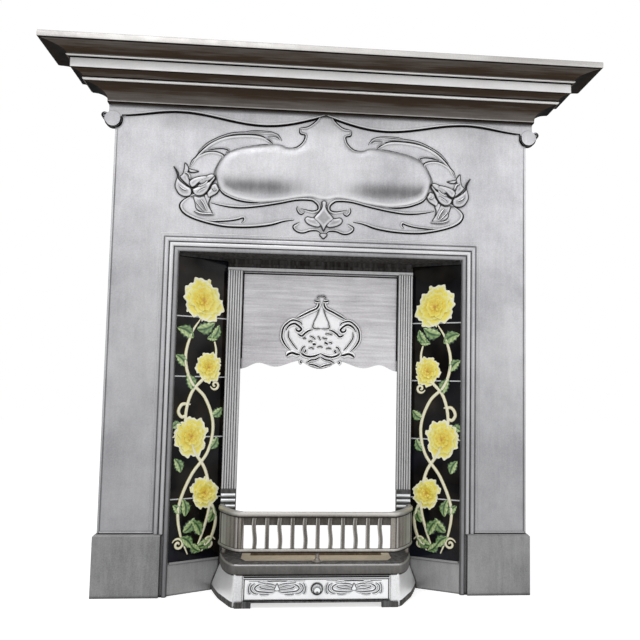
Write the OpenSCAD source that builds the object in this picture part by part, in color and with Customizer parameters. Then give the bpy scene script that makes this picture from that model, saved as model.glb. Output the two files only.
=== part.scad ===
// Tiled cast iron fireplace: mantel surround with a moulded shelf, splayed tile
// panels, a register insert with a hood, a fire front over a canted ash pit,
// a loose ash cover with a knob, a bottom grate and a hinged damper.
// The front faces -Y, the wall is on the +Y side and the floor is z = 0.

/* [Surround] */
// Width over the outside of the two jambs
surround_w = 1074; // [1000:1:1150]
// Height of the surround casting, up to the joint with the shelf
surround_h = 1240; // [1235:1:1300]
// Depth of the jamb returns, from the jamb face back to the wall
jamb_depth = 19; // [18.5:0.5:45]
// Thickness of the surround's cast plate
plate_t = 5; // [4:0.5:6]
// Thickness of the returns and of the top flange
return_t = 8; // [6:0.5:10]
// Depth of the top flange that the shelf is bolted to
top_flange_d = 18; // [17:0.5:18.5]
// Width of the opening between the two reeded borders
opening_w = 730; // [725:1:740]
// Height of the opening from the floor
opening_h = 857; // [855:1:870]

/* [Opening border] */
// Pitch of the three reeds of the border
reed_pitch = 12.3; // [11:0.1:13]
// Width of one border reed
reed_w = 8; // [6:0.5:10]
// How far a border reed stands proud
reed_proud = 4; // [2:0.5:6]

/* [Valance] */
// Joint line between the shelf moulding and the valance, below the top of the surround
valance_top = 9; // [8:1:12]
// Lowest points of the wavy edge, each side of the middle, below the top of the surround
valance_low = 45; // [40:1:50]
// High points of the wavy edge, nearer the jambs, below the top of the surround
valance_high = 19; // [15:1:25]
// Outer ends of the wavy edge, below the top of the surround
valance_end = 36; // [32:1:40]
// How far the valance stands proud of the frieze
valance_proud = 5; // [3:0.5:7]
// Radius of the round ear at each end of the valance
ear_r = 21; // [18:0.5:24]
// The ear's centre, below the top of the surround
ear_z = 48; // [45:1:52]
// How far the ear's centre stands outside the jamb
ear_out = 6; // [3:0.5:8]
// Radius of the small roll beyond each ear
roll_r = 9; // [7:0.5:10]

/* [Plinth blocks] */
// Width of a plinth block
plinth_w = 162.5; // [155:0.5:163]
// Height of a plinth block
plinth_h = 152; // [130:1:175]
// How far a plinth block stands proud of the jamb, in front and at the side
plinth_proud = 9; // [7:0.5:12]
// Bevel along the top of a plinth block
plinth_bevel = 5; // [2:0.5:6]

/* [Mantel shelf] */
// Height of the shelf's top above the top of the surround
shelf_top = 110; // [110:1:140]
// Overhang of the shelf's top edge beyond the jambs, in front and at the sides
shelf_over = 155; // [150:1:180]
// Height of the shelf's top edge
shelf_edge_h = 15; // [12:0.5:18]
// Overhang of the upper bead
bead_over = 102; // [99:0.5:105]
// Overhang of the wide fascia
fascia_over = 93; // [90:0.5:95]
// Height of the wide fascia
fascia_h = 22.5; // [20:0.5:24]
// Overhang of the lower bead
lower_bead_over = 69; // [66:0.5:72]
// Overhang of the moulding's bottom edge
moulding_foot = 18; // [15:0.5:22]
// Thickness of the shelf casting's top
shelf_t = 8; // [6:0.5:9]

/* [Splays and tiles] */
// Side of a tile
tile_size = 152.4; // [152:0.1:153]
// Thickness of a tile
tile_t = 9.5; // [8:0.5:10]
// Joint between two tiles
tile_joint = 1; // [0.5:0.1:1.2]
// How far the tiles run behind the edge of the opening
tile_lap = 6.5; // [5:0.5:8]
// Height of the ledge that the lowest tile stands on
tile_ledge_z = 81; // [75:1:82]
// Least height of the cap between the top tile and the soffit
tile_cap_h = 9; // [7:0.5:12]
// Thickness of the tile frame behind the tiles and of the panel below them
tile_frame_t = 6; // [5:0.5:7]
// Width of the tile frame's rails
tile_rail_w = 18; // [14:1:22]
// How far the ledge's lip stands proud of the tiles
ledge_lip = 3; // [2:0.5:4]

/* [Insert] */
// Depth of the insert's face behind the jamb face
insert_depth = 76; // [74:0.5:78]
// Thickness of the insert's cast plate
insert_t = 5; // [4.5:0.5:6]
// Width over the outside of the two reeded columns
insert_w = 493; // [490:1:496]
// Width of a reeded column
column_w = 39; // [36:1:40]
// Radius of a column reed
column_reed_r = 5.5; // [4.5:0.5:6]
// Height of the insert
insert_h = 853.5; // [853:0.5:855]
// Height at which the hood starts to show below the top band
hood_top = 823; // [815:1:826]
// Bottom of the base block under each column
base_low = 197; // [190:1:204]
// Top of the base block under each column
base_high = 253; // [248:1:262]
// How far a base block stands proud of the insert's face
base_proud = 12; // [10:0.5:13]
// Radius of the three ribs on a base block
base_rib_r = 4; // [3:0.5:4.5]
// Height of the insert's bottom plate, which carries the back of the grate
bottom_plate_h = 92; // [88:1:92]

/* [Hood] */
// Thickness of the hood plate
hood_t = 5; // [4:0.5:6]
// Height of the hood's lower edge at its two ends
hood_end = 564; // [555:1:570]
// Height of the low points between the end and the middle
hood_dip = 571; // [566:1:575]
// Height of the shallow crests next to the ends
hood_crest = 580.5; // [578:0.5:584]
// Height of the edge beside the middle plaque
hood_arch = 588; // [585:1:595]
// Lowest point of the middle plaque
hood_plaque = 567; // [562:1:572]

/* [Throat and damper] */
// Height of the throat plate
throat_z = 640; // [635:1:680]
// Thickness of the throat plate
throat_t = 6; // [5:0.5:8]
// Depth of the throat plate behind the hood
throat_d = 110; // [105:1:130]
// Width of the flue hole
flue_w = 260; // [200:1:280]
// Depth of the flue hole
flue_d = 70; // [50:1:72]
// Thickness of the damper flap
flap_t = 5; // [4:0.5:6]
// Radius of the hinge pin
hinge_pin_r = 4; // [3:0.25:5]

/* [Ash pit] */
// How far the ash pit stands out in front of the jamb face
pit_out = 100; // [92:1:102]
// Height of the ash pit, where the fire front and the grate sit
pit_h = 100; // [98:1:104]
// Height of the band along the top of the ash pit
pit_band_h = 26; // [22:1:28]
// Depth of the band's flat top
pit_ledge_d = 38; // [30:1:40]
// Thickness of the ash pit's walls
pit_wall = 6; // [5:0.5:7]
// Half width of the ash pit at its canted front corners
pit_corner = 195; // [193:1:197]
// How much the foot of the canted sides flares outwards
pit_flare = 14; // [8:1:16]

/* [Ash cover] */
// Width of the loose ash cover
cover_w = 347.4; // [330:0.2:350]
// Thickness of the ash cover
cover_t = 6; // [5:0.5:7]
// Height of the small feet under the cover and the ash pit
foot_h = 12; // [8:1:14]
// Width of a foot
foot_w = 19; // [15:1:22]
// Radius of the knob's rose
knob_r = 14; // [11:0.5:15]
// How far the knob stands out from the cover
knob_out = 22; // [18:1:28]
// Radius of the knob's stem
stem_r = 4; // [3:0.25:5]

/* [Fire front] */
// How far the fire front stands out in front of the jamb face
front_out = 76; // [74:1:78]
// Half width of the straight part of the fire front
front_flat = 184; // [182:1:186]
// Half width of the fire front over its two ends
front_half = 244; // [240:1:245]
// Height of the underside of the fire front above the floor
front_low = 121; // [118:1:123]
// Top of the fire front
front_high = 217; // [214:1:225]
// Height of the moulded top rail
top_rail_h = 13; // [10:1:15]
// Height of the bottom rail
low_rail_h = 9; // [7:1:12]
// Height of the solid web under the top rail
web_h = 18; // [12:1:20]
// Thickness of the fire front's wall
front_wall = 8; // [6:0.5:9]
// Depth of the fire front's two rails
rail_d = 10; // [9.5:0.5:10.5]
// Number of windows between the bars
window_n = 12; // [8:1:14]
// Pitch of the bars
bar_pitch = 30.4; // [22:0.1:30.5]
// Width of a bar
bar_w = 10; // [7:0.5:12]
// Sideways swing of the wavy bars
bar_wave = 1.6; // [0:0.1:2]

/* [Bottom grate] */
// Thickness of the bottom grate
grate_t = 8; // [6:0.5:9]
// Width of the bottom grate
grate_w = 370; // [350:1:372]
// Depth of the solid margin along the front of the grate
grate_margin = 72; // [50:1:80]
// Clearance of the grate's canted corners from the ends of the fire front
grate_clear = 4.5; // [3:0.5:8]
// Number of air slots in the grate
grate_slots = 13; // [7:2:15]
// Width of an air slot
slot_w = 12; // [8:1:14]

/* [Fasteners and fits] */
// Radius of the small machine bolts, those of the shelf among them
bolt_r = 2.9; // [2.5:0.1:3]
// Radius of the large bolts of the ash pit
big_bolt_r = 3.9; // [3.5:0.1:4]
// Height of a small bolt's head and nut
head_h = 4; // [3:0.5:5]
// Height of a large bolt's head and nut
big_head_h = 5.5; // [4:0.5:6]
// Radius of the holes in the wall lugs
lug_hole_r = 4.5; // [3.5:0.25:6]
// Height of the lower wall lugs
lug_low_z = 300; // [260:1:400]
// The upper wall lugs, below the top of the surround
lug_high_z = 90; // [90:1:240]
// Running clearance round pins and shafts
run_gap = 0.08; // [0.04:0.01:0.1]
// Clearance between castings that sit close together
seat_gap = 0.3; // [0.2:0.05:0.4]
// Clearance round pieces that slide or lift out
slide_gap = 0.8; // [0.5:0.1:1.2]

/* [Hidden] */
$fn = 48;
SIDES = ["left", "right"];
TILES = [1, 2, 3, 4, 5];

// The part's own box runs from the shelf's front edge to the back of the throat
throat_back = insert_depth + insert_t + hood_t + throat_d;
face_y = (shelf_over - throat_back) / 2;
wall_y = face_y + jamb_depth;
half_w = surround_w / 2;
open_x = opening_w / 2;
column_out = insert_w / 2;
column_in = column_out - column_w;
insert_y = face_y + insert_depth;
insert_back = insert_y + insert_t;
hood_back = insert_back + hood_t;
// How far a cut runs past what it cuts
past = 60;

// Heights that follow the top of the surround
joint_z = surround_h - valance_top;
shelf_z = surround_h + shelf_top;
wall_lug_zs = [lug_low_z, surround_h - lug_high_z];

// The tiles run from behind the border to behind the columns
tile_y = face_y + plate_t + seat_gap;
tile_x = open_x + tile_lap;
splay_angle = atan2(insert_depth + insert_t - plate_t, tile_x - column_out);
tile_pitch = tile_size + tile_joint;
tile_top = tile_ledge_z + len(TILES) * tile_pitch;
// The soffit meets the border, but stays above the top tiles and their cap
soffit_z = max(opening_h, tile_top + tile_cap_h);

// Bolt places
plinth_mid = half_w + plinth_proud - plinth_w / 2;
plinth_bolt_zs = [plinth_h / 4, plinth_h * 3 / 4];
shelf_bolt_xs = [half_w * 0.34, half_w * 0.85];
shelf_bolt_y = face_y + (plate_t + top_flange_d) / 2;
frame_lug_zs = [for (n = [0.75, 2.5, 4.25]) tile_ledge_z + tile_pitch * n];
lug_half_h = 14;
surround_boss_r = 8;
surround_boss_x = tile_x + (tile_t + tile_frame_t) * sin(splay_angle) + surround_boss_r + 6.5;
surround_boss_h = 5.5;
surround_lug_y = face_y + plate_t + surround_boss_h;
insert_boss_r = 6.5;
insert_boss_x = column_out - column_w / 2 + 2;
insert_lug_y = insert_back + 13;
frame_lug_t = 5;
hood_half = insert_boss_x - insert_boss_r - 1;
hood_bolt_x = column_in + column_reed_r + 1.2;
hood_bolt_zs = [throat_z - 20, hood_top - 23];
blind_depth = 8;
pit_bolt_z = 45;
pit_bolt_x = column_in + 12;
bolt_hole_r = bolt_r + 0.4;
big_hole_r = big_bolt_r + 0.6;
wall_lug_x = half_w - return_t - 26;
wall_lug_t = 8;
wall_lug_half = 22;
// Length of the roll beyond each ear, which ends short of the wall
roll_l = 16;

// Damper hinge: the flap lies on the throat plate and its knuckles clear it
knuckle_r = hinge_pin_r * 2;
hinge_z = throat_z + throat_t + knuckle_r + 1;
hinge_y = face_y + throat_back - knuckle_r - 2;
flue_y = hinge_y - knuckle_r - flue_d - 2;
flap_w = flue_w + 12;
hinge_ear_x = flap_w / 2 + 4;
hinge_ear_t = 10;
throat_flange_h = 34;

// Plan outlines of the ash pit, as distances from the middle and behind the
// jamb face; its back corners follow the insert's columns
pit_side_y = insert_depth - 1;
pit_cant_x = column_out - 15.5;
pit_cheek_x = column_out - 8.5;
pit_back_x = column_out - 6.5;
pit_top_plan = [[pit_corner, -pit_out], [pit_corner + 6, -pit_out + 7], [pit_cant_x, -12],
  [pit_cheek_x, 30], [pit_back_x, pit_side_y]];
pit_foot_plan = [[pit_corner + 3, -pit_out], [pit_corner + 10, -pit_out + 9],
  [pit_cant_x + pit_flare / 2, -16], [pit_cheek_x + pit_flare, 30],
  [pit_back_x + pit_flare * 1.7, pit_side_y]];

// The fire front's ends curve back as a quarter of a flattened ellipse
front_end_y = insert_depth - base_proud - base_rib_r - 2;
curve_back = 34;
curve_power = 1.45;
function front_curve(d, steps = 8) = [for (i = [0:steps]) let (t = 90 * i / steps)
  [front_flat - d + (front_half - front_flat) * pow(sin(t), curve_power),
    curve_back + d - (front_out + curve_back) * pow(cos(t), curve_power)]];
front_plan = concat(front_curve(0), [[front_half, front_end_y]]);
cover_half = cover_w / 2;
pit_open_half = cover_half + slide_gap;
cover_top = pit_h - pit_band_h - slide_gap;
grate_front = -pit_out + pit_ledge_d + slide_gap;
grate_back = insert_depth + insert_t;
grate_ledge = 12;

function mirrored(points) = concat(
  [for (i = [len(points) - 1:-1:0]) [-points[i][0], points[i][1]]],
  points);

// A quarter of an ellipse that starts upright at one point and ends level at the other
function cove(x0, z0, x1, z1, steps = 7) =
  [for (i = [0:steps]) [x1 - (x1 - x0) * cos(90 * i / steps), z0 + (z1 - z0) * sin(90 * i / steps)]];

// Smooth blend from one height to another over a span
function blend(x, x0, x1, z0, z1) = z0 + (z1 - z0) * (1 - cos(180 * (x - x0) / (x1 - x0))) / 2;

// Height of the valance's lower edge at a distance from the middle
valance_mid = 160;
valance_out = 375;
valance_thin = 2;
function valance_z(a) =
  surround_h - (
    a < valance_mid ?
      valance_low - (valance_low - valance_top - valance_thin) * (1 - sin(90 * a / valance_mid)) :
    a < valance_out ? blend(a, valance_mid, valance_out, valance_low, valance_high) :
    blend(a, valance_out, half_w, valance_high, valance_end));

// Height of the hood's lower edge at a distance from the middle
plaque_half = 50;
dip_x = 118;
crest_x = 160;
function hood_edge(a) =
  a < plaque_half ? hood_arch - (hood_arch - hood_plaque) * cos(90 * a / plaque_half) :
  a < dip_x ? blend(a, plaque_half, dip_x, hood_arch, hood_dip) :
  a < crest_x ? blend(a, dip_x, crest_x, hood_dip, hood_crest) :
  blend(min(a, column_in), crest_x, column_in, hood_crest, hood_end);

// Shelf moulding, as overhang and height from the bottom edge up
fascia_z = shelf_z - shelf_edge_h - 23;
lower_bead_z = fascia_z - fascia_h - 14.5;
shelf_profile = concat(
  [[moulding_foot, joint_z]],
  cove(moulding_foot, joint_z + 5, lower_bead_over - 6, lower_bead_z - 9),
  [[lower_bead_over - 1, lower_bead_z - 8], [lower_bead_over + 1, lower_bead_z - 4],
    [lower_bead_over - 1, lower_bead_z]],
  cove(lower_bead_over + 2, lower_bead_z + 2, fascia_over - 2, fascia_z - fascia_h),
  [[fascia_over, fascia_z - fascia_h], [fascia_over, fascia_z], [bead_over, fascia_z + 1],
    [bead_over + 1.5, fascia_z + 4], [bead_over - 1, fascia_z + 7]],
  cove(bead_over + 1, fascia_z + 9, shelf_over - 6, shelf_z - shelf_edge_h),
  [[shelf_over, shelf_z - shelf_edge_h], [shelf_over, shelf_z - 2], [shelf_over - 2, shelf_z]]);
// The hollow inside the shelf casting, open at the wall
shelf_hollow = [[8, surround_h + return_t], [14, joint_z + 26], [lower_bead_over - 16, lower_bead_z + 6],
  [fascia_over - 10, fascia_z - fascia_h + 9], [fascia_over - 9, fascia_z + 12],
  [bead_over + 4, shelf_z - shelf_t - 6], [bead_over + 18, shelf_z - shelf_t]];

module pair() {
  children();
  mirror([1, 0, 0]) children();
}

module on_side(side) {
  mirror([side == "right" ? 1 : 0, 0, 0]) children();
}

module box(x0, x1, y0, y1, z0, z1) {
  translate([x0, y0, z0]) cube([x1 - x0, y1 - y0, z1 - z0]);
}

// A flat outline in x and z made into a sheet from y back to y + t
module sheet(y, t) {
  translate([0, y + t, 0]) rotate([90, 0, 0]) linear_extrude(t) children();
}

// A round bar or hole along y, from y to y + l
module rod_y(x, y, z, r, l) {
  translate([x, y, z]) rotate([-90, 0, 0]) cylinder(r = r, h = l);
}

// A bar or hole along x, from x to x + l
module rod_x(x, y, z, r, l) {
  translate([x, y, z]) rotate([0, 90, 0]) cylinder(r = r, h = l);
}

// A hexagon bolt along y: the head is behind and the shank points forward
module bolt_from_back(x, y, z, r, l, h) {
  rod_y(x, y - l, z, r, l);
  translate([x, y, z]) rotate([-90, 0, 0]) cylinder(r = r * 2, h = h, $fn = 6);
}

// The tiles' own frame: x runs along the splay from the border to the insert,
// y is the depth behind the tiles' faces
module on_splay(side) {
  on_side(side) translate([-tile_x, tile_y, 0]) rotate([0, 0, splay_angle]) children();
}

// ---------------------------------------------------------------- surround

module border_reed(i) {
  inner = i * reed_pitch + (reed_pitch - reed_w) / 2;
  x = open_x + inner;
  z = opening_h + inner;
  low = i == 0 ? 0 : plinth_h;
  pair() box(x, x + reed_w, face_y - reed_proud, face_y + 1, low, z + reed_w);
  box(-x, x, face_y - reed_proud, face_y + 1, z, z + reed_w);
}

module valance() {
  steps = 64;
  edge = [for (i = [0:steps]) let (x = -half_w + surround_w * i / steps) [x, valance_z(abs(x))]];
  sheet(face_y - valance_proud, valance_proud + 1)
    polygon(concat(edge, [[half_w, joint_z], [-half_w, joint_z]]));
  x = half_w + ear_out;
  z = surround_h - ear_z;
  pair() {
    rod_y(x, face_y - valance_proud - 1, z, ear_r, plate_t + valance_proud + 7);
    box(half_w - 16, x + 10, face_y - valance_proud, face_y + plate_t + 4, z + 8, joint_z);
    rod_y(x + ear_r + 1, face_y + 2, z + 12, roll_r, roll_l);
  }
}

module surround() {
  color("darkgray") difference() {
    union() {
      sheet(face_y, plate_t) difference() {
        translate([-half_w, 0]) square([surround_w, surround_h]);
        translate([-open_x, -1]) square([opening_w, opening_h + 1]);
      }
      pair() box(half_w - return_t, half_w, face_y, wall_y, 0, surround_h);
      box(-half_w + 1, half_w - 1, face_y + 1, face_y + top_flange_d, surround_h - return_t, surround_h);
      for (i = [0:2]) border_reed(i);
      valance();
      pair() for (z = wall_lug_zs)
        box(wall_lug_x - wall_lug_half, half_w - 1, wall_y - wall_lug_t, wall_y,
          z - wall_lug_half, z + wall_lug_half);
      pair() for (z = frame_lug_zs)
        rod_y(surround_boss_x, face_y + 1, z, surround_boss_r, surround_lug_y - face_y - 1);
    }
    pair() for (z = wall_lug_zs)
      rod_y(wall_lug_x, wall_y - wall_lug_t - 1, z, lug_hole_r, wall_lug_t + 2);
    pair() for (z = frame_lug_zs)
      rod_y(surround_boss_x, surround_lug_y - blind_depth, z, bolt_r + run_gap, blind_depth + 1);
    pair() for (z = plinth_bolt_zs)
      rod_y(plinth_mid, face_y - 1, z, bolt_hole_r, plate_t + 2);
    pair() for (x = shelf_bolt_xs)
      translate([x, shelf_bolt_y, surround_h - return_t - 1]) cylinder(r = bolt_hole_r, h = return_t + 2);
  }
}

// A plinth block wraps the foot of a jamb; its top edges are bevelled
module plinth(side) {
  top = plinth_h;
  out = half_w + plinth_proud;
  front = face_y - plinth_proud;
  color("gray") on_side(side == "left" ? "right" : "left") difference() {
    intersection() {
      box(out - plinth_w, out, front, wall_y, 0, top);
      sheet(front - 1, jamb_depth + plinth_proud + 2)
        polygon([[0, 0], [out, 0], [out, top - plinth_bevel], [out - plinth_bevel, top], [0, top]]);
      rotate([90, 0, 90]) linear_extrude(out + 1)
        polygon([[front, 0], [wall_y, 0], [wall_y, top], [front + plinth_bevel, top],
          [front, top - plinth_bevel]]);
    }
    box(out - plinth_w - 1, half_w, face_y, wall_y + 1, -1, top + 1);
    for (z = plinth_bolt_zs)
      rod_y(plinth_mid, face_y - plinth_proud + 2, z, bolt_r + run_gap, plinth_proud);
  }
}

module plinth_bolts() {
  color("dimgray") pair() for (z = plinth_bolt_zs)
    bolt_from_back(plinth_mid, face_y + plate_t, z, bolt_r, plate_t + plinth_proud - 3, head_h);
}

// ------------------------------------------------------------ mantel shelf

// The profile carried round three sides: a front bar and two returns, mitred
module moulded(profile, low, high, back) {
  n = len(profile);
  intersection() {
    translate([-half_w - shelf_over - 1, 0, 0]) rotate([90, 0, 90])
      linear_extrude(surround_w + 2 * shelf_over + 2)
        polygon(concat([for (p = profile) [face_y - p[0], p[1]]], [[back, high], [back, low]]));
    sheet(face_y - shelf_over - 1, shelf_over + jamb_depth + 4)
      polygon(concat([for (p = profile) [half_w + p[0], p[1]]],
        [for (i = [n - 1:-1:0]) [-half_w - profile[i][0], profile[i][1]]]));
  }
}

module mantel_shelf() {
  seat = half_w + seat_gap;
  color("lightgray") difference() {
    moulded(shelf_profile, joint_z, shelf_z, wall_y);
    moulded(shelf_hollow, surround_h + return_t, shelf_z - shelf_t, wall_y + 2);
    box(-seat, seat, face_y - seat_gap, wall_y + 1, joint_z - 1, surround_h);
    pair() for (x = shelf_bolt_xs)
      translate([x, shelf_bolt_y, surround_h - 1]) cylinder(r = bolt_hole_r, h = return_t + 2);
  }
}

module shelf_bolts() {
  shank = 2 * return_t + head_h + 3;
  color("dimgray") pair() for (x = shelf_bolt_xs) translate([x, shelf_bolt_y, surround_h + return_t]) {
    translate([0, 0, -shank]) cylinder(r = bolt_r, h = shank);
    cylinder(r = bolt_r * 2, h = head_h, $fn = 6);
  }
}

module shelf_nuts() {
  color("dimgray") pair() for (x = shelf_bolt_xs)
    translate([x, shelf_bolt_y, surround_h - return_t - head_h]) difference() {
      cylinder(r = bolt_r * 2, h = head_h, $fn = 6);
      translate([0, 0, -1]) cylinder(r = bolt_r + run_gap, h = head_h + 2);
    }
}

// -------------------------------------------------------- splays and tiles

module frame_lug(x0, x1, y, z) {
  box(-x1, -x0, y, y + frame_lug_t, z - lug_half_h, z + lug_half_h);
}

// The cap ends in front of the insert and behind the border
module tile_cap() {
  box(0, tile_size, 0, tile_t + seat_gap + 1, tile_top + seat_gap, soffit_z);
}

module tile_frame(side) {
  back = tile_t + seat_gap;
  color("gray") difference() {
    union() {
      on_splay(side) {
        difference() {
          box(-6, tile_size + 6, back, back + tile_frame_t, 0, soffit_z);
          box(tile_rail_w, tile_size - tile_rail_w, back - 1, back + tile_frame_t + 1,
            tile_ledge_z + tile_rail_w, tile_top - tile_rail_w);
        }
        box(0, tile_size, 0, back + 1, tile_ledge_z - 5, tile_ledge_z);
        box(0, tile_size, 0, tile_frame_t, 0, tile_ledge_z - 4);
        tile_cap();
        box(10, tile_size - 10, -ledge_lip, 1, tile_ledge_z - 5, tile_ledge_z);
      }
      on_side(side) for (z = frame_lug_zs) {
        frame_lug(tile_x + 6.5, surround_boss_x + surround_boss_r + 2, surround_lug_y, z);
        frame_lug(insert_boss_x - insert_boss_r - 3, column_out - 1, insert_lug_y, z);
      }
    }
    // The cap over the tiles runs up to just below the soffit
    soffit(open_x + 20, seat_gap, 20);
    on_side(side) for (z = frame_lug_zs) {
      rod_y(-surround_boss_x, surround_lug_y - 1, z, bolt_hole_r, frame_lug_t + 2);
      rod_y(-insert_boss_x, insert_lug_y - 1, z, bolt_hole_r, frame_lug_t + 2);
    }
  }
}

module tile_frame_bolts() {
  shank = frame_lug_t + blind_depth - 1;
  color("dimgray") pair() for (z = frame_lug_zs) {
    bolt_from_back(surround_boss_x, surround_lug_y + frame_lug_t, z, bolt_r, shank, head_h);
    bolt_from_back(insert_boss_x, insert_lug_y + frame_lug_t, z, bolt_r, shank, head_h);
  }
}

module tile(side, n) {
  z = tile_ledge_z + (n - 1) * tile_pitch;
  color("black") on_splay(side) box(0, tile_size, 0, tile_t, z, z + tile_size);
}

// ------------------------------------------------------------------ insert

module column() {
  reed_y = insert_back - column_reed_r - seat_gap;
  for (i = [-1:1]) {
    x = column_out - column_w / 2 + i * (column_w / 3);
    translate([x, reed_y, base_high - 1]) cylinder(r = column_reed_r, h = hood_top - base_high + 2);
  }
  box(column_in, column_out, insert_y - base_proud, insert_y + 1, base_low, base_high);
}

// The soffit closes the top of the recess and slopes up to the border
module soffit(half, drop, t) {
  front = face_y + plate_t + seat_gap;
  back_z = insert_h - 0.5;
  translate([-half, 0, 0]) rotate([90, 0, 90]) linear_extrude(2 * half)
    polygon([[front, soffit_z - drop], [insert_back, back_z - drop], [insert_back + drop, back_z + t],
      [front, soffit_z + t]]);
}

module insert_frame() {
  rib_zs = [base_low + 14, base_low + 28.5, base_low + 42];
  color("darkgray") difference() {
    union() {
      sheet(insert_y, insert_t) difference() {
        translate([-column_out, 0]) square([insert_w, insert_h]);
        translate([-column_in, bottom_plate_h]) square([2 * column_in, hood_top - bottom_plate_h]);
      }
      pair() column();
      box(-column_out, column_out, insert_y - 5, insert_y + 1, hood_top, hood_top + 8);
      box(-column_out, column_out, insert_y - 3, insert_y + 1, hood_top + 11, hood_top + 18);
      pair() for (z = rib_zs) rod_x(column_in + 1, insert_y - base_proud, z, base_rib_r, column_w - 2);
      pair() for (z = frame_lug_zs)
        rod_y(insert_boss_x, insert_back - 1, z, insert_boss_r, insert_lug_y - insert_back + 1);
      soffit(open_x, 0, insert_t + 1);
    }
    pair() for (z = frame_lug_zs)
      rod_y(insert_boss_x, insert_lug_y - blind_depth - 1, z, bolt_r + run_gap, blind_depth + 2);
    pair() for (z = hood_bolt_zs)
      rod_y(hood_bolt_x, insert_back - blind_depth, z, bolt_r + run_gap, blind_depth + 1);
    pair() rod_y(pit_bolt_x, insert_y - 1, pit_bolt_z, big_hole_r, insert_t + 2);
  }
}

module hood() {
  steps = 56;
  edge = [for (i = [0:steps]) let (x = -hood_half + 2 * hood_half * i / steps) [x, hood_edge(abs(x))]];
  color("silver") difference() {
    sheet(insert_back, hood_t)
      polygon(concat(edge, [[hood_half, hood_top + 14], [-hood_half, hood_top + 14]]));
    pair() for (z = hood_bolt_zs)
      rod_y(hood_bolt_x, insert_back - 1, z, bolt_hole_r, hood_t + 2);
  }
}

module hood_bolts() {
  color("dimgray") pair() {
    bolt_from_back(hood_bolt_x, hood_back + throat_t, hood_bolt_zs[0], bolt_r,
      throat_t + hood_t + blind_depth - 1, head_h);
    bolt_from_back(hood_bolt_x, hood_back, hood_bolt_zs[1], bolt_r, hood_t + blind_depth - 1, head_h);
  }
}

// ------------------------------------------------------- throat and damper

module throat_plate() {
  top = throat_z + throat_t;
  ear_in = hinge_ear_x;
  color("dimgray") difference() {
    union() {
      box(-hood_half, hood_half, hood_back, hood_back + throat_d, throat_z, top);
      pair()
        box(hood_bolt_x - 8, hood_half, hood_back, hood_back + throat_t, throat_z - throat_flange_h, top);
      pair() {
        box(ear_in, ear_in + hinge_ear_t, hinge_y - knuckle_r, hinge_y + knuckle_r, top - 1, hinge_z);
        rod_x(ear_in, hinge_y, hinge_z, knuckle_r, hinge_ear_t);
      }
    }
    box(-flue_w / 2, flue_w / 2, flue_y, flue_y + flue_d, throat_z - 1, top + 1);
    pair() rod_x(ear_in - 1, hinge_y, hinge_z, hinge_pin_r + run_gap, hinge_ear_t + 2);
    pair() rod_y(hood_bolt_x, hood_back - 1, hood_bolt_zs[0], bolt_hole_r, throat_t + 2);
  }
}

module damper_pin() {
  half = hinge_ear_x + hinge_ear_t + 3;
  color("darkslategray") rod_x(-half, hinge_y, hinge_z, hinge_pin_r, 2 * half);
}

module damper_flap() {
  low = throat_z + throat_t + seat_gap;
  knuckle_x = flap_w / 2 - 24;
  color("gray") difference() {
    union() {
      box(-flap_w / 2, flap_w / 2, flue_y - 6, hinge_y - knuckle_r - 1, low, low + flap_t);
      pair() {
        box(knuckle_x, flap_w / 2, hinge_y - knuckle_r - 8, hinge_y, low + 1, low + flap_t);
        rod_x(knuckle_x, hinge_y, hinge_z, knuckle_r, 24);
      }
    }
    rod_x(-flap_w, hinge_y, hinge_z, hinge_pin_r + run_gap, 2 * flap_w);
  }
}

// ----------------------------------------------------------------- ash pit

module plan_slab(points, z0, z1) {
  translate([0, face_y, z0]) linear_extrude(z1 - z0) polygon(mirrored(points));
}

function inset(points, d) = [for (p = points) [p[0] - d, p[1] < 0 ? p[1] + d : p[1] + 1]];

// The grate's outline: its front corners are canted, clear of the straight line
// that joins the two ends of each curved part of the fire front
module grate_slab(gap, z0, z1) {
  start_x = front_flat - rail_d;
  start_y = -front_out + rail_d;
  slope = (front_end_y - start_y) / (front_half - front_flat);
  half = grate_w / 2 + gap;
  front = grate_front - gap;
  reach = grate_clear - gap;
  plan_slab([[start_x - reach + (front - start_y) / slope, front],
    [half, start_y + (half + reach - start_x) * slope], [half, grate_back]], z0, z1);
}

module ash_pit_front() {
  ledge_low = pit_h - grate_t;
  band_low = pit_h - pit_band_h;
  front = face_y - pit_out;
  grate_in = grate_w / 2 - grate_ledge;
  color("gainsboro") difference() {
    union() {
      hull() {
        plan_slab(pit_top_plan, band_low - 2, band_low);
        plan_slab(pit_foot_plan, foot_h, foot_h + 2);
      }
      plan_slab(pit_foot_plan, 0, foot_h);
      plan_slab(pit_top_plan, band_low - 2, pit_h);
      pair() box(pit_open_half, pit_open_half + foot_w, front - 6, front + 8, 0, foot_h);
    }
    // The hollow, with a ledge round its top for the grate
    plan_slab(inset(pit_top_plan, pit_wall), -1, ledge_low - 8);
    box(-grate_in, grate_in, face_y + grate_front + grate_ledge, insert_y + 1, -1, pit_h + 1);
    grate_slab(slide_gap, ledge_low, pit_h + 1);
    box(-pit_open_half, pit_open_half, front - 9, front + 12, -1, band_low);
    // Seats against the splay panels, the tiles' ledge and the insert
    for (side = SIDES) on_splay(side) {
      box(-past, tile_size + past, -seat_gap, insert_depth + past, -1, pit_h + 1);
      box(0, tile_size, -ledge_lip - seat_gap, 1, tile_ledge_z - 6, tile_ledge_z + 1);
    }
    box(-half_w, half_w, insert_y, insert_y + past, -1, pit_h + 1);
    pair() rod_y(pit_bolt_x, insert_y - 20, pit_bolt_z, big_hole_r, 30);
  }
  color("gainsboro") pit_flanges();
}

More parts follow.
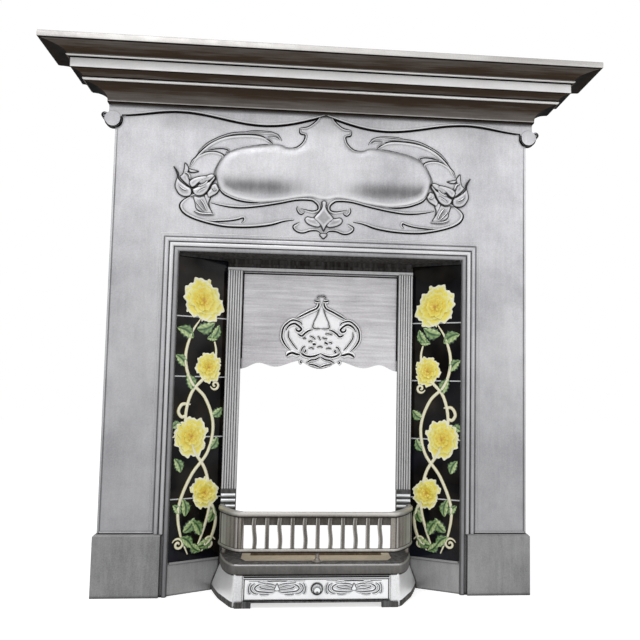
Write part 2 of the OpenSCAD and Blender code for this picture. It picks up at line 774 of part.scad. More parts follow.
// Flanges at the back of the two cheeks, bolted to the insert
module pit_flanges() {
  pair() difference() {
    box(pit_bolt_x - 12, column_out - 12.5, insert_y - pit_wall, insert_y, pit_bolt_z - 16, pit_bolt_z + 16);
    rod_y(pit_bolt_x, insert_y - 20, pit_bolt_z, big_hole_r, 30);
  }
}

module pit_bolts() {
  color("dimgray") pair() {
    rod_y(pit_bolt_x, insert_y - pit_wall, pit_bolt_z, big_bolt_r, pit_wall + insert_t + big_head_h + 3);
    translate([pit_bolt_x, insert_y - pit_wall, pit_bolt_z]) rotate([90, 0, 0])
      cylinder(r = big_bolt_r * 2, h = big_head_h, $fn = 6);
  }
}

module pit_nuts() {
  color("dimgray") pair() translate([pit_bolt_x, insert_back, pit_bolt_z])
    rotate([-90, 0, 0]) difference() {
    cylinder(r = big_bolt_r * 2, h = big_head_h, $fn = 6);
    translate([0, 0, -1]) cylinder(r = big_bolt_r + run_gap, h = big_head_h + 2);
  }
}

// --------------------------------------------------------------- ash cover

module ash_cover() {
  front = face_y - pit_out - 3;
  color("whitesmoke") difference() {
    union() {
      box(-cover_half, cover_half, front, front + cover_t, foot_h, cover_top);
      box(-cover_half, cover_half, front - 2, front + 1, cover_top - 6, cover_top);
      box(-cover_half, cover_half, front - 2, front + 1, foot_h, foot_h + 5);
      pair() box(cover_half - foot_w, cover_half, front - 3, front + cover_t + 3, 0, foot_h + 1);
    }
    rod_y(0, front - 1, knob_z(), stem_r + run_gap, cover_t + 2);
  }
}

function knob_z() = (foot_h + cover_top) / 2 + 1;

module cover_knob() {
  front = face_y - pit_out - 3;
  tail = cover_t + big_head_h + 2;
  color("silver") translate([0, front, knob_z()]) rotate([90, 0, 0]) {
    rotate_extrude() polygon([[0, 0], [knob_r, 0], [knob_r, 3], [knob_r - 3, 5.5], [knob_r * 0.45, 7],
      [knob_r * 0.42, knob_out * 0.5], [knob_r * 0.66, knob_out * 0.66], [knob_r * 0.7, knob_out * 0.8],
      [knob_r * 0.5, knob_out * 0.95], [0, knob_out]]);
    translate([0, 0, -tail]) cylinder(r = stem_r, h = tail + 1);
  }
}

module knob_nut() {
  color("dimgray") translate([0, face_y - pit_out - 3 + cover_t, knob_z()]) rotate([-90, 0, 0]) difference() {
    cylinder(r = stem_r * 2, h = big_head_h, $fn = 6);
    translate([0, 0, -1]) cylinder(r = stem_r + run_gap, h = big_head_h + 2);
  }
}

// -------------------------------------------------------------- fire front

// A strip of the given width that follows the fire front's plan
module front_strip(t, z0, z1) {
  difference() {
    plan_slab(front_plan, z0, z1);
    plan_slab(concat(front_curve(t), [[front_half - t, front_end_y + 1]]), z0 - 1, z1 + 1);
  }
}

function bar_offset(u) = bar_wave * sin(360 * u);

module wavy_bar(x, y, z0, z1) {
  steps = 12;
  left = [for (i = [0:steps]) [x - bar_w / 2 + bar_offset(i / steps), z0 + (z1 - z0) * i / steps]];
  right = [for (i = [steps:-1:0]) [x + bar_w / 2 + bar_offset(i / steps), z0 + (z1 - z0) * i / steps]];
  sheet(y, front_wall - 2) polygon(concat(left, right));
}

// The turned leg in the middle, which stands on the ash pit's band
leg_r = 4.5;
leg_foot_r = 12;
module front_leg() {
  leg_h = front_low - pit_h;
  leg_y = face_y - front_out - 3;
  translate([0, leg_y, pit_h]) rotate_extrude()
    polygon([[0, 0], [leg_foot_r, 0], [leg_foot_r, 2.5], [leg_r + 3, 6], [leg_r, 10], [leg_r, leg_h - 3],
      [leg_r + 1, leg_h], [0, leg_h]]);
  box(-leg_r, leg_r, leg_y, leg_y + 8, pit_h + leg_h - 4, front_low + 1);
}

module fire_front() {
  span = (window_n - 1) * bar_pitch + bar_pitch - bar_w;
  rail_low = front_high - top_rail_h;
  window_low = front_low + low_rail_h;
  window_high = rail_low - web_h;
  front = face_y - front_out;
  color("dimgray") {
    difference() {
      union() {
        front_strip(front_wall, front_low, front_high);
        front_strip(rail_d, rail_low, front_high);
        front_strip(rail_d, front_low, window_low);
      }
      box(-span / 2, span / 2, front - 1, front + rail_d + 1, window_low, window_high);
      box(-span / 2, span / 2, front - 1, front + 3, window_low, rail_low);
    }
    for (i = [1:window_n - 1]) {
      x = (i - window_n / 2) * bar_pitch;
      if (i % 2 == 1)
        wavy_bar(x, front + 1, window_low - 1, rail_low + 1);
      else
        box(x - bar_w / 2, x + bar_w / 2, front + 1, front + front_wall - 1, window_low - 1, rail_low + 1);
    }
    front_leg();
    pair() box(front_half - 16, front_half - 9, face_y + 20, face_y + 44, pit_h, front_low + 1);
  }
}

// ------------------------------------------------------------- bottom grate

module bottom_grate() {
  slot_pitch = (grate_w - 50) / grate_slots;
  slot_y0 = face_y + grate_front + grate_margin;
  slot_y1 = face_y + grate_back - 16;
  color("burlywood") difference() {
    grate_slab(0, pit_h - grate_t, pit_h);
    for (i = [0:grate_slots - 1]) {
      x = (i - (grate_slots - 1) / 2) * slot_pitch;
      box(x - slot_w / 2, x + slot_w / 2, slot_y0, slot_y1, pit_h - grate_t - 1, pit_h + 1);
    }
  }
}

surround();
plinth("left");  // left_plinth
plinth("right");  // right_plinth
plinth_bolts();
mantel_shelf();
shelf_bolts();
shelf_nuts();
tile_frame("left");  // left_tile_frame
tile_frame("right");  // right_tile_frame
tile_frame_bolts();
for (side = SIDES) for (n = TILES)
  tile(side, n);
insert_frame();
hood();
hood_bolts();
throat_plate();
damper_pin();
damper_flap();
ash_pit_front();
pit_bolts();
pit_nuts();
fire_front();
bottom_grate();
ash_cover();
cover_knob();
knob_nut();
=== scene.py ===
"""The looks of a tiled cast iron fireplace, built round its construction frame.

Lengths in the constants are millimetres, and a heading says what each group is.
Ornament on an upright plate is drawn as (x, z) points from the middle of the
fireplace and the floor; everything is turned into metres when a mesh is made.
"""

import math

import bmesh
import bpy
import numpy as np
from mathutils import Matrix, Vector


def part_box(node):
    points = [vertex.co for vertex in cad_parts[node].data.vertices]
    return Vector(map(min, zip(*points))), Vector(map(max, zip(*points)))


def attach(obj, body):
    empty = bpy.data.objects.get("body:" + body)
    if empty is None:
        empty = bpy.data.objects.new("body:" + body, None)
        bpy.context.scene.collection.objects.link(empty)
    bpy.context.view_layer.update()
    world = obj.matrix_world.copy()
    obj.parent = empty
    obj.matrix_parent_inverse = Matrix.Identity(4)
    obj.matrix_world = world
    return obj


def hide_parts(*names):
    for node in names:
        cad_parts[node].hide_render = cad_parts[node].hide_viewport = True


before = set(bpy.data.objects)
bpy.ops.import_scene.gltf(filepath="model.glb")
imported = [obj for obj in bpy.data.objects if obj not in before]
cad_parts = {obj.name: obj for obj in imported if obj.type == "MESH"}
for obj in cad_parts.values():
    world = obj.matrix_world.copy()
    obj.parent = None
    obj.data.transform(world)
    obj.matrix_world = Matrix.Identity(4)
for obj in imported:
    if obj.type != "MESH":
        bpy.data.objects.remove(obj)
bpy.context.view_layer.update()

MM = 0.001

# ------------------------------------------------------------ places from the frame


def low(node):
    """Lowest corner of a node, in millimetres."""
    return np.array(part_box(node)[0]) / MM


def high(node):
    """Highest corner of a node, in millimetres."""
    return np.array(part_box(node)[1]) / MM


PLINTH_PROUD = 9
FACE_Y = low("left_plinth")[1] + PLINTH_PROUD
WALL_Y = high("left_plinth")[1]
HALF_W = high("right_plinth")[0] - PLINTH_PROUD
PLINTH_TOP = high("left_plinth")[2]
SHELF_TOP = high("mantel_shelf")[2]
SHELF_FOOT = low("mantel_shelf")[2]
SURROUND_TOP = SHELF_TOP - 110
HOOD_Y = low("hood")[1]
INSERT_Y = HOOD_Y - 5
COVER_Y = low("ash_cover")[1] + 3
KNOB_Z = (low("cover_knob")[2] + high("cover_knob")[2]) / 2

# Border: the opening it goes round, then its reeds and the two fine lines outside them
OPEN_X = 365
OPEN_TOP = 857
REED_PITCH = 12.3
REED_W = 12
REED_PROUD = 5.4
DARK_LINE_OUT = 38.4
LIT_LINE_OUT = 47

# Shelf moulding: overhang beyond the jambs, then heights
SHELF_OVER = 155
UPPER_BEAD = 102
FASCIA = 93
LOWER_BEAD = 69
MOULDING_FOOT = 18
SHELF_EDGE = 15
FASCIA_H = 22.5
FASCIA_TOP = SHELF_TOP - SHELF_EDGE - 23

# Ear at each end of the valance, and the small roll beside it
EAR_OUT = 6
EAR_DOWN = 48
EAR_R = 21
ROLL_OUT = 28
ROLL_DOWN = 36

# Hood, columns and base blocks
HOOD_HALF_W = 205.5
HOOD_SIDE_FOOT = 592
HOOD_HEAD = 817
COLUMN_X = 227
COLUMN_HALF_W = 19.3
COLUMN_FOOT = 253.5
COLUMN_TOP = 822.5
COLUMN_REEDS = 6
RIB_Z = (211, 225.5, 239)
RIB_R = 4.3
RIB_ENDS = (209, 245)

# Ash cover: half width between its joints, and the middles of its two panels
COVER_HALF = 167
COVER_MIDDLE_Z = 45
PANEL_X = (-94, 88)

# Fire front in plan: flat half, end half, how far forward and how deep its ends go
FRONT_FLAT = 184
FRONT_HALF = 244
FRONT_OUT = 76
FRONT_BACK = 34
FRONT_END = 57
FRONT_POWER = 1.45
BAR_PITCH = 30.4
BAR_WAVE = 1.6
BAR_FOOT = 130
BAR_H = 74

# Half length of the bead across the grate
LIP_HALF = 163

# Tiles: ends of a joint along the splay, and how far a tile's edge is eased
JOINT_START = 1
JOINT_END = 151.4
EASED_EDGE = 0.9

# ------------------------------------------------------------------ mesh making


def grid_faces(rows, columns, close=False):
    """Quads of a grid of points; with close the last column joins the first."""
    i = np.arange(rows - 1)[:, None]
    j = np.arange(columns if close else columns - 1)[None, :]
    k = (j + 1) % columns
    quads = np.stack([i * columns + j, i * columns + k, (i + 1) * columns + k, (i + 1) * columns + j], -1)
    return quads.reshape(-1, 4).tolist()


def tube_faces(rows, columns):
    """Quads round a tube of several rings, with a flat end on the first and the last."""
    last = (rows - 1) * columns
    ends = [list(range(columns)), [last + n for n in range(columns - 1, -1, -1)]]
    return grid_faces(rows, columns, close=True) + ends


def rim_of(rows, columns):
    """Numbers of a grid's outer points, in order round it."""
    edge = ([(0, k) for k in range(columns)] + [(k, columns - 1) for k in range(1, rows)]
            + [(rows - 1, k) for k in range(columns - 2, -1, -1)] + [(k, 0) for k in range(rows - 2, 0, -1)])
    return [a * columns + b for a, b in edge]


def joined(parts):
    """Several (points, faces, shade) as one, with the face numbers moved along."""
    points, faces, shade, start = [], [], [], 0
    for p, f, s in parts:
        points.append(p)
        shade.append(s)
        faces += [[n + start for n in face] for face in f]
        start += len(p)
    return np.concatenate(points), faces, np.concatenate(shade)


def make(name, parts, material, body="root", slot="burnished_iron", sharp=70):
    """One object from parts of (points in mm, faces, shade), riding on a body."""
    points, faces, shade = joined(parts)
    mesh = bpy.data.meshes.new(name)
    mesh.from_pydata((points * MM).tolist(), [], faces)
    layer = mesh.attributes.new("shade", "FLOAT", "POINT")
    layer.data.foreach_set("value", shade.astype(np.float32))
    finish_mesh(mesh, sharp)
    return placed(name, mesh, material, body, slot)


def added(name, data):
    """A new object in the scene."""
    thing = bpy.data.objects.new(name, data)
    bpy.context.scene.collection.objects.link(thing)
    return thing


def placed(name, mesh, material, body, slot):
    """A mesh as an object that rides on a body."""
    piece = added(name, mesh)
    mesh.materials.append(material)
    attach(piece, body)
    return piece


def finish_mesh(mesh, sharp, weld=0.0, flat=0.0):
    """Merges doubles, drops edges that lie inside a flat face, points faces outwards and
    shades smooth below an angle."""
    work = bmesh.new()
    work.from_mesh(mesh)
    if weld:
        bmesh.ops.remove_doubles(work, verts=work.verts, dist=weld * MM)
    if flat:
        bmesh.ops.dissolve_limit(work, angle_limit=math.radians(flat), verts=work.verts, edges=work.edges)
    bmesh.ops.recalc_face_normals(work, faces=work.faces)
    work.to_mesh(mesh)
    work.free()
    mesh.polygons.foreach_set("use_smooth", np.ones(len(mesh.polygons), bool))
    mesh.set_sharp_from_angle(angle=math.radians(sharp))
    mesh.update()


def dressed(node, name, material, body, slot, bevel, tone=None):
    """A node's own casting with its edges eased, as a cast edge is, and shaded smooth.
    tone gives each face's blacklead and painted shade from its middle in millimetres and its normal."""
    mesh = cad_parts[node].data.copy()
    mesh.materials.clear()
    finish_mesh(mesh, 28, weld=0.01, flat=0.4)
    if tone:
        centre = np.zeros(len(mesh.polygons) * 3)
        normal = np.zeros(len(mesh.polygons) * 3)
        mesh.polygons.foreach_get("center", centre)
        mesh.polygons.foreach_get("normal", normal)
        layer = mesh.attributes.new("shade", "FLOAT", "FACE")
        value = tone(centre.reshape(-1, 3) / MM, normal.reshape(-1, 3))
        layer.data.foreach_set("value", value.astype(np.float32))
    piece = placed(name, mesh, material, body, slot)
    if bevel:
        ease = piece.modifiers.new("eased_edges", "BEVEL")
        ease.width = bevel * MM
        ease.segments = 2
        ease.limit_method = "ANGLE"
        ease.angle_limit = math.radians(35)
        ease.loop_slide = False
    even = piece.modifiers.new("even_shading", "WEIGHTED_NORMAL")
    even.keep_sharp = True
    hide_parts(node)
    return piece


def smooth_path(points, per_span=8):
    """Catmull-Rom: each span bends by the chords of its two neighbours."""
    p = np.asarray(points, float)
    p = np.concatenate([[2 * p[0] - p[1]], p, [2 * p[-1] - p[-2]]])
    t = np.linspace(0, 1, per_span, endpoint=False)[None, :, None]
    a, b, c, d = (p[k:len(p) - 3 + k, None, :] for k in range(4))
    curve = 0.5 * (2 * b + (c - a) * t + (2 * a - 5 * b + 4 * c - d) * t ** 2
                   + (3 * b - a - 3 * c + d) * t ** 3)
    return np.concatenate([curve.reshape(-1, p.shape[1]), p[-2:-1]])


def mirrored(points):
    """The same curve on the other side of the middle."""
    return [(-x, z) for x, z in points]


def wave(a, start, end, from_z, to_z):
    """Half a cosine wave that leads from one height at start to another at end."""
    return from_z + (to_z - from_z) * (1 - np.cos(math.pi * np.clip((a - start) / (end - start), 0, 1))) / 2


# Cross-sections of a raised line, from its left side to its right as it travels: place
# across it as a share of its half width, height as a share of its full height, and how
# dark it is there, as blacklead and painted shade (below zero it is a painted highlight).
# LEDGE has a painted shadow on its left side and a painted highlight on its right, SCORE
# is black in its groove with painted highlights on its lips, LIT_LINE is a painted
# highlight, and BAR_FACE lays painted highlights and shade across a bar's face.
LEDGE = np.array([[-1.5, 0.0, 0.0], [-1.1, 0.05, 0.35], [-1.0, 0.06, 1.25], [-0.5, 0.12, 1.25], [-0.08, 0.5, 1.2],
                  [0.02, 0.75, 0.3], [0.25, 1.0, -0.5], [0.6, 0.9, -0.9], [0.95, 0.5, -0.7], [1.3, 0.15, -0.2],
                  [1.6, 0.0, 0.0]])
SCORE = np.array([[-2.0, 0.0, -0.1], [-1.5, 0.35, -0.6], [-1.05, 0.9, -0.9], [-0.7, 0.8, -0.2], [-0.6, 0.35, 1.25],
                  [0, 0.25, 1.25], [0.6, 0.35, 1.25], [0.7, 0.8, -0.2], [1.05, 0.9, -0.9], [1.5, 0.35, -0.6],
                  [2.0, 0.0, -0.1]])
# a score whose black groove and painted highlights are at 0.72 strength
SOFT_SCORE = SCORE * np.array([1, 1, 0.72])
LIT_LINE = np.array([[-1.1, 0.0, 0.0], [-0.9, 0.6, -0.5], [0, 1.0, -0.8], [0.9, 0.6, -0.5], [1.1, 0.0, 0.0]])
STEM = np.array([[-1.1, 0.0, 1.0], [-0.95, 0.5, 0.85], [-0.7, 0.85, 0.2], [0, 1.0, 0.0], [0.7, 0.85, 0.25],
                 [0.95, 0.5, 0.85], [1.1, 0.0, 1.0]])
DARK_LINE = np.array([[-1.1, 0.0, 0.4], [-1.0, 0.4, 1.3], [0, 1.0, 1.3], [1.0, 0.4, 1.3], [1.1, 0.0, 0.4]])
SOFT_LINE = DARK_LINE * np.array([1, 1, 0.42])
BAR_FACE = np.array([[-1.0, 0.0, 0.5], [-0.97, 0.6, -0.7], [-0.74, 1.0, -0.6], [-0.5, 0.9, 0.45], [0.45, 0.9, 0.6],
                     [0.7, 1.0, 0.1], [0.97, 0.6, 0.3], [1.0, 0.0, 0.6]])


def raised_line(points, plate_y, width, height, section, tips=(0.35, 0.35), per_span=8, dark_from=None):
    """A narrow moulding along a curve on an upright plate.

    point(s, k) = curve(s) + normal(s) * across(k) * w(s) / 2, standing up(k) * h(s)
    in front of the plate; w and h swell from the tips as a quarter sine. With dark_from
    the section's left side, which is the dark one, faces away from that point."""
    curve = smooth_path(points, per_span)
    step = np.gradient(curve, axis=0)
    step /= np.linalg.norm(step, axis=1, keepdims=True) + 1e-9
    normal = np.stack([-step[:, 1], step[:, 0]], -1)
    across, up, dark = section.T
    if dark_from is not None and np.sum(normal * (curve - np.asarray(dark_from))) < 0:
        across, up, dark = -across[::-1], up[::-1], dark[::-1]
    # the left side has the positive normal, so the section is laid from it
    across = -across
    s = np.linspace(0, 1, len(curve))
    swell = np.minimum(
        tips[0] + (1 - tips[0]) * np.sin(np.clip(s / 0.22, 0, 1) * math.pi / 2),
        tips[1] + (1 - tips[1]) * np.sin(np.clip((1 - s) / 0.22, 0, 1) * math.pi / 2))
    flat = curve[:, None, :] + normal[:, None, :] * (across * width / 2)[None, :, None] * swell[:, None, None]
    lift = up[None, :] * height * swell[:, None] + 0.05
    top = np.stack([flat[..., 0], plate_y - lift, flat[..., 1]], -1)
    under = np.stack([flat[:, [-1, 0], 0], np.full((len(curve), 2), plate_y + 0.6), flat[:, [-1, 0], 1]], -1)
    ring = np.concatenate([top, under], axis=1)
    faces = tube_faces(len(curve), len(across) + 2)
    return ring.reshape(-1, 3), faces, np.tile(np.concatenate([dark, dark[[-1, 0]]]), len(curve))


def spiral(centre, radius, turns, start, end_radius=1.5, steps=26):
    """Points on a spiral whose radius falls evenly with its angle."""
    t = np.linspace(0, 1, steps)
    r = radius + (end_radius - radius) * t
    a = start + turns * 2 * math.pi * t
    return np.stack([centre[0] + r * np.cos(a), centre[1] + r * np.sin(a)], -1).tolist()


def arc(centre, radius, first, last, steps, side):
    """Points on an arc between two angles in degrees, with x taken towards the side."""
    turn = np.radians(np.linspace(first, last, steps))
    return np.stack([centre[0] - side * radius * np.cos(turn), centre[1] + radius * np.sin(turn)], -1)


def inside_depth(x, z, outline):
    """Distance from each point to a closed outline, positive inside it.

    The nearest point of every side is found by projection, and a point lies inside
    when a ray from it crosses the outline an odd number of times."""
    nearest = np.full(x.shape, 1e9)
    crossed = np.zeros(x.shape, bool)
    for (ax, az), (bx, bz) in zip(outline, np.roll(outline, -1, axis=0)):
        dx, dz = bx - ax, bz - az
        t = np.clip(((x - ax) * dx + (z - az) * dz) / (dx * dx + dz * dz + 1e-12), 0, 1)
        nearest = np.minimum(nearest, np.hypot(x - ax - t * dx, z - az - t * dz))
        if dz:
            crossed ^= ((az > z) != (bz > z)) & (x < ax + (z - az) * dx / dz)
    return np.where(crossed, nearest, -nearest)


def closed_curve(outline, per_span=5):
    """A smooth closed curve through the points of an outline."""
    p = np.asarray(outline, float)
    wrapped = np.concatenate([p[-2:], p, p[:3]])
    return smooth_path(wrapped, per_span)[2 * per_span:(2 + len(p)) * per_span]


def height_field(low_x, high_x, low_z, high_z, step, field, plate_y, foot=None):
    """A closed slab whose front stands field(x, z) in front of a plate; where the field
    is below zero the slab stays hidden inside the plate. With foot the rows start at
    foot(x) and are spread evenly from there to the top."""
    x, z = np.meshgrid(np.arange(low_x, high_x + step, step), np.arange(low_z, high_z + step, step))
    if foot:
        start = foot(x)
        z = start + (high_z - start) * (z - z.min()) / np.ptp(z)
    up, shade = field(x, z)
    front = np.stack([x, plate_y - up, z], -1).reshape(-1, 3)
    rim = rim_of(*x.shape)
    back = front[rim].copy()
    back[:, 1] = plate_y + 1.8
    start = len(front)
    faces = grid_faces(*x.shape)
    faces += [[rim[k], rim[(k + 1) % len(rim)], start + (k + 1) % len(rim), start + k] for k in range(len(rim))]
    faces.append([start + k for k in range(len(rim))])
    return (np.concatenate([front, back]), faces, np.concatenate([shade.ravel(), np.full(len(rim), 0.5)]))


def lapped(petals, rim_dark=2.2, lit=0.05):
    """Field of petals that lap over each other: petal i stands base + rise * sqrt(1 -
    (1 - d / width)^2) at the depth d inside its outline, and the highest one is seen.
    Its rim is black for rim_dark mm with a painted highlight just inside that; its middle
    keeps a little blacklead, and it lies in a painted shadow of a petal above it."""
    def field(x, z):
        up = np.full(x.shape, -0.8)
        shade = np.zeros(x.shape)
        for outline, base, rise, width in petals:
            d = inside_depth(x, z, closed_curve(outline, 4))
            dome = rise * np.sqrt(np.clip(1 - (1 - np.clip(d / width, 0, 1)) ** 2, 0, 1))
            tall = np.where(d > 0, base + dome, np.clip(base + d * 4, -0.8, None))
            tone = np.clip((rim_dark + 0.9 - d) / 0.9, 0, 1)
            tone = np.where(d > rim_dark + 0.9, -lit * np.exp(-((d - rim_dark - 3.0) / 1.8) ** 2)
                            + 0.34 * np.clip((d - rim_dark - 4) / 4, 0, 1), tone)
            over = tall > up
            near = (~over) & (d > -2.2) & (up > base - 4)
            shade = np.where(near & (d < 0) & (tall > 0), np.maximum(shade, 0.5), shade)
            up, shade = np.where(over, tall, up), np.where(over, tone, shade)
        return up, shade
    return field


def swept(path, profile, shade=None, plan=False):
    """A closed profile carried round a path with mitred corners. On an upright path the
    profile is (out, forward); on a path in plan it is (out, height).

    At a corner the profile is stretched along the bisector by 1 / cos(half the turn)."""
    p, q = np.asarray(path, float), np.asarray(profile, float)
    step = np.diff(p, axis=0)
    step /= np.linalg.norm(step, axis=1, keepdims=True)
    before, after = np.concatenate([step[:1], step]), np.concatenate([step, step[-1:]])
    out_a = np.stack([-before[:, 1], before[:, 0]], -1)
    out_b = np.stack([-after[:, 1], after[:, 0]], -1)
    out = out_a + out_b
    out /= np.sum(out * out_a, axis=1, keepdims=True)
    flat = p[:, None, :] + out[:, None, :] * q[None, :, :1]
    other = np.broadcast_to(q[:, 1], flat.shape[:2])
    order = (flat[..., 0], flat[..., 1], other) if plan else (flat[..., 0], -other, flat[..., 1])
    points = np.stack(order, -1)
    tone = np.zeros(len(q)) if shade is None else np.asarray(shade, float)
    return points.reshape(-1, 3), tube_faces(len(p), len(q)), np.tile(tone, len(p))


def rod(ends, ring, tone):
    """A straight bar along X between two ends; its section is a closed ring of (y, z)."""
    points = np.array([[x, y, z] for x in ends for y, z in ring], float)
    return points, tube_faces(2, len(ring)), np.full(2 * len(ring), float(tone))


# ------------------------------------------------------------------- materials


class Nodes:
    """Short calls for building a material's nodes."""

    def __init__(self, name):
        self.material = bpy.data.materials.new(name)
        self.material.use_nodes = True
        self.tree = self.material.node_tree
        self.shader = self.tree.nodes["Principled BSDF"]
        self.place = self.new("TexCoord").outputs["Object"]

    def new(self, kind):
        return self.tree.nodes.new("ShaderNode" + kind)

    def link(self, source, target):
        self.tree.links.new(source, target)

    def put(self, value, socket):
        """Gives a socket a number, a colour or another node's output."""
        if isinstance(value, (int, float)):
            socket.default_value = value
        elif isinstance(value, tuple):
            socket.default_value = (*value, 1)
        else:
            self.link(value, socket)

    def feed(self, name, value):
        """Gives a value to one of the shader's own sockets."""
        self.put(value, self.shader.inputs[name])

    def stretched(self, scale):
        mapping = self.new("Mapping")
        mapping.inputs["Scale"].default_value = scale
        self.link(self.place, mapping.inputs["Vector"])
        return mapping.outputs["Vector"]

    def noise(self, scale, detail=4.0, rough=0.55, vector=None):
        node = self.new("TexNoise")
        node.inputs["Scale"].default_value = scale
        node.inputs["Detail"].default_value = detail
        node.inputs["Roughness"].default_value = rough
        self.link(vector or self.place, node.inputs["Vector"])
        return node.outputs["Fac"]

    def attribute(self, name):
        node = self.new("Attribute")
        node.attribute_name = name
        return node.outputs["Fac"]

    def ramp(self, value, stops):
        node = self.new("ValToRGB")
        band = node.color_ramp
        while len(band.elements) < len(stops):
            band.elements.new(0.5)
        for element, (at, colour) in zip(band.elements, stops):
            element.position = at
            element.color = (*colour, 1)
        self.link(value, node.inputs["Fac"])
        return node.outputs["Color"]

    def mix(self, amount, a, b, kind="MIX"):
        node = self.new("Mix")
        node.data_type = "RGBA"
        node.blend_type = kind
        for socket, value in ((node.inputs[0], amount), (node.inputs[6], a), (node.inputs[7], b)):
            self.put(value, socket)
        return node.outputs[2]

    def math(self, kind, a, b=0.0, clamp=False):
        node = self.new("Math")
        node.operation = kind
        node.use_clamp = clamp
        for socket, value in zip(node.inputs, (a, b)):
            self.put(value, socket)
        return node.outputs[0]

    def spread(self, value, a, b, c, d):
        node = self.new("MapRange")
        for socket, number in zip(node.inputs[1:5], (a, b, c, d)):
            socket.default_value = number
        self.link(value, node.inputs[0])
        return node.outputs[0]

    def hollow(self, reach):
        node = self.new("AmbientOcclusion")
        node.samples = 6
        node.inputs["Distance"].default_value = reach * MM
        return node.outputs["AO"]

    def height(self):
        node = self.new("SeparateXYZ")
        self.link(self.place, node.inputs[0])
        return node.outputs["Z"]

    def bump(self, value, strength, depth=0.2):
        node = self.new("Bump")
        node.inputs["Strength"].default_value = strength
        node.inputs["Distance"].default_value = depth * MM
        self.link(value, node.inputs["Height"])
        self.feed("Normal", node.outputs["Normal"])


def iron(name, bright, dark, metallic, rough, soot_and_shade=(0.012, 0.010, 0.009), falls=0.0, reach=9, hollow_shade_most=0.85,
         polish_and_highlight=(0.97, 0.97, 0.98), rub=(120, 120, 14), streak=0.20):
    """Burnished cast iron: cloudy burnish with a fine speckle and rubbing streaks, cast
    grain, and matt blacklead kept in the hollows, laid on by ambient occlusion, which also
    paints shade into the recesses. With falls it darkens towards the floor, and a painted
    shadow lies under the shelf. The shade value lays on more blacklead and painted shade,
    worn through a little by the streaks; above one it is pure black, and below zero it
    brightens, which on most marks is a painted highlight."""
    n = Nodes(name)
    cloud = n.noise(4.2, 4.0, 0.6)
    speckle = n.noise(330, 3.0, 0.6)
    rubbed = n.noise(1.0, 4.0, 0.6, n.stretched(rub))
    tone = n.math("ADD", n.math("MULTIPLY", cloud, 0.72 - streak), n.math("MULTIPLY", speckle, 0.28))
    tone = n.math("ADD", tone, n.math("MULTIPLY", rubbed, streak))
    colour = n.ramp(tone, [(0.36, dark), (0.62, bright)])
    shade = n.math("MULTIPLY", n.attribute("shade"), n.spread(rubbed, 0.35, 0.70, 1.0, 0.86))
    # below zero the shade value mixes in a painted highlight
    colour = n.mix(n.math("MULTIPLY", shade, -0.75, clamp=True), colour, polish_and_highlight)
    if falls:
        shaded = tuple(c * 0.42 for c in dark)
        colour = n.mix(n.spread(n.height(), 0.0, 1.25, falls, 0.0), colour, shaded)
        # from 1.17 m to 1.24 m it is a painted shadow under the shelf
        colour = n.mix(n.spread(n.height(), 1.17, 1.24, 0.0, 0.42), colour, shaded)
    # ambient occlusion lays blacklead in the hollows and paints shade into the recesses
    hollow_blacking_and_shade = n.spread(n.hollow(reach), 0.50, 0.97, hollow_shade_most, 0.0)
    # blacklead and painted shade together
    blacking_and_shade = n.math("MAXIMUM", hollow_blacking_and_shade, shade, clamp=True)
    black = n.math("SUBTRACT", n.attribute("shade"), 1.0, clamp=True)
    n.feed("Base Color", n.mix(black, n.mix(blacking_and_shade, colour, soot_and_shade), (0.004, 0.004, 0.004)))
    n.feed("Metallic", n.spread(blacking_and_shade, 0.25, 1.0, metallic, 0.0))
    n.feed("Specular IOR Level", n.spread(blacking_and_shade, 0.25, 1.0, 0.5, 0.06))
    grain = n.spread(n.noise(38, 4.0), 0.3, 0.7, rough - 0.07, rough + 0.09)
    n.feed("Roughness", n.math("ADD", grain, n.math("MULTIPLY", blacking_and_shade, 0.4)))
    n.bump(n.math("ADD", n.noise(900, 3.0), n.math("MULTIPLY", cloud, 3.0)), 0.22, 0.16)
    return n.material


def steel(name):
    """Plain oiled steel of the bolts and nuts, with turning marks and dark grime."""
    n = Nodes(name)
    grime = n.noise(120, 5.0, 0.65)
    n.feed("Base Color", n.ramp(grime, [(0.35, (0.05, 0.045, 0.04)), (0.7, (0.27, 0.26, 0.25))]))
    n.feed("Metallic", 0.9)
    n.feed("Roughness", n.spread(grime, 0.3, 0.7, 0.52, 0.34))
    n.bump(n.noise(1600, 2.0), 0.2, 0.08)
    return n.material


def glaze():
    """Black glossy glaze with a faint ripple and patches of brownish and bluish black."""
    n = Nodes("black_glaze")
    n.feed("Base Color", n.ramp(n.noise(7, 3.0), [(0.30, (0.020, 0.015, 0.011)), (0.48, (0.0035, 0.003, 0.003)),
                                                  (0.72, (0.009, 0.010, 0.018))]))
    n.feed("Roughness", 0.10)
    n.feed("Specular IOR Level", n.spread(n.noise(5.5, 3.0), 0.35, 0.7, 0.02, 0.20))
    n.bump(n.noise(46, 2.0), 0.10, 0.5)
    return n.material


def slip(name, stops, rough=0.25):
    """Raised coloured slip under a clear glaze; its colour runs with its own shade value."""
    n = Nodes(name)
    run = n.math("ADD", n.attribute("shade"), n.spread(n.noise(170, 4.0), 0.3, 0.7, -0.09, 0.09), clamp=True)
    n.feed("Base Color", n.ramp(run, stops))
    n.feed("Roughness", rough)
    n.feed("Coat Weight", 0.3)
    n.feed("Coat Roughness", 0.08)
    n.bump(n.noise(260, 3.0), 0.15, 0.3)
    return n.material


def grout():
    """Pale, slightly sandy joint between two tiles."""
    n = Nodes("tile_joint")
    n.feed("Base Color", n.ramp(n.noise(420, 4.0), [(0.3, (0.52, 0.54, 0.54)), (0.7, (0.82, 0.84, 0.84))]))
    n.feed("Roughness", 0.8)
    n.bump(n.noise(1500, 3.0), 0.5, 0.1)
    return n.material


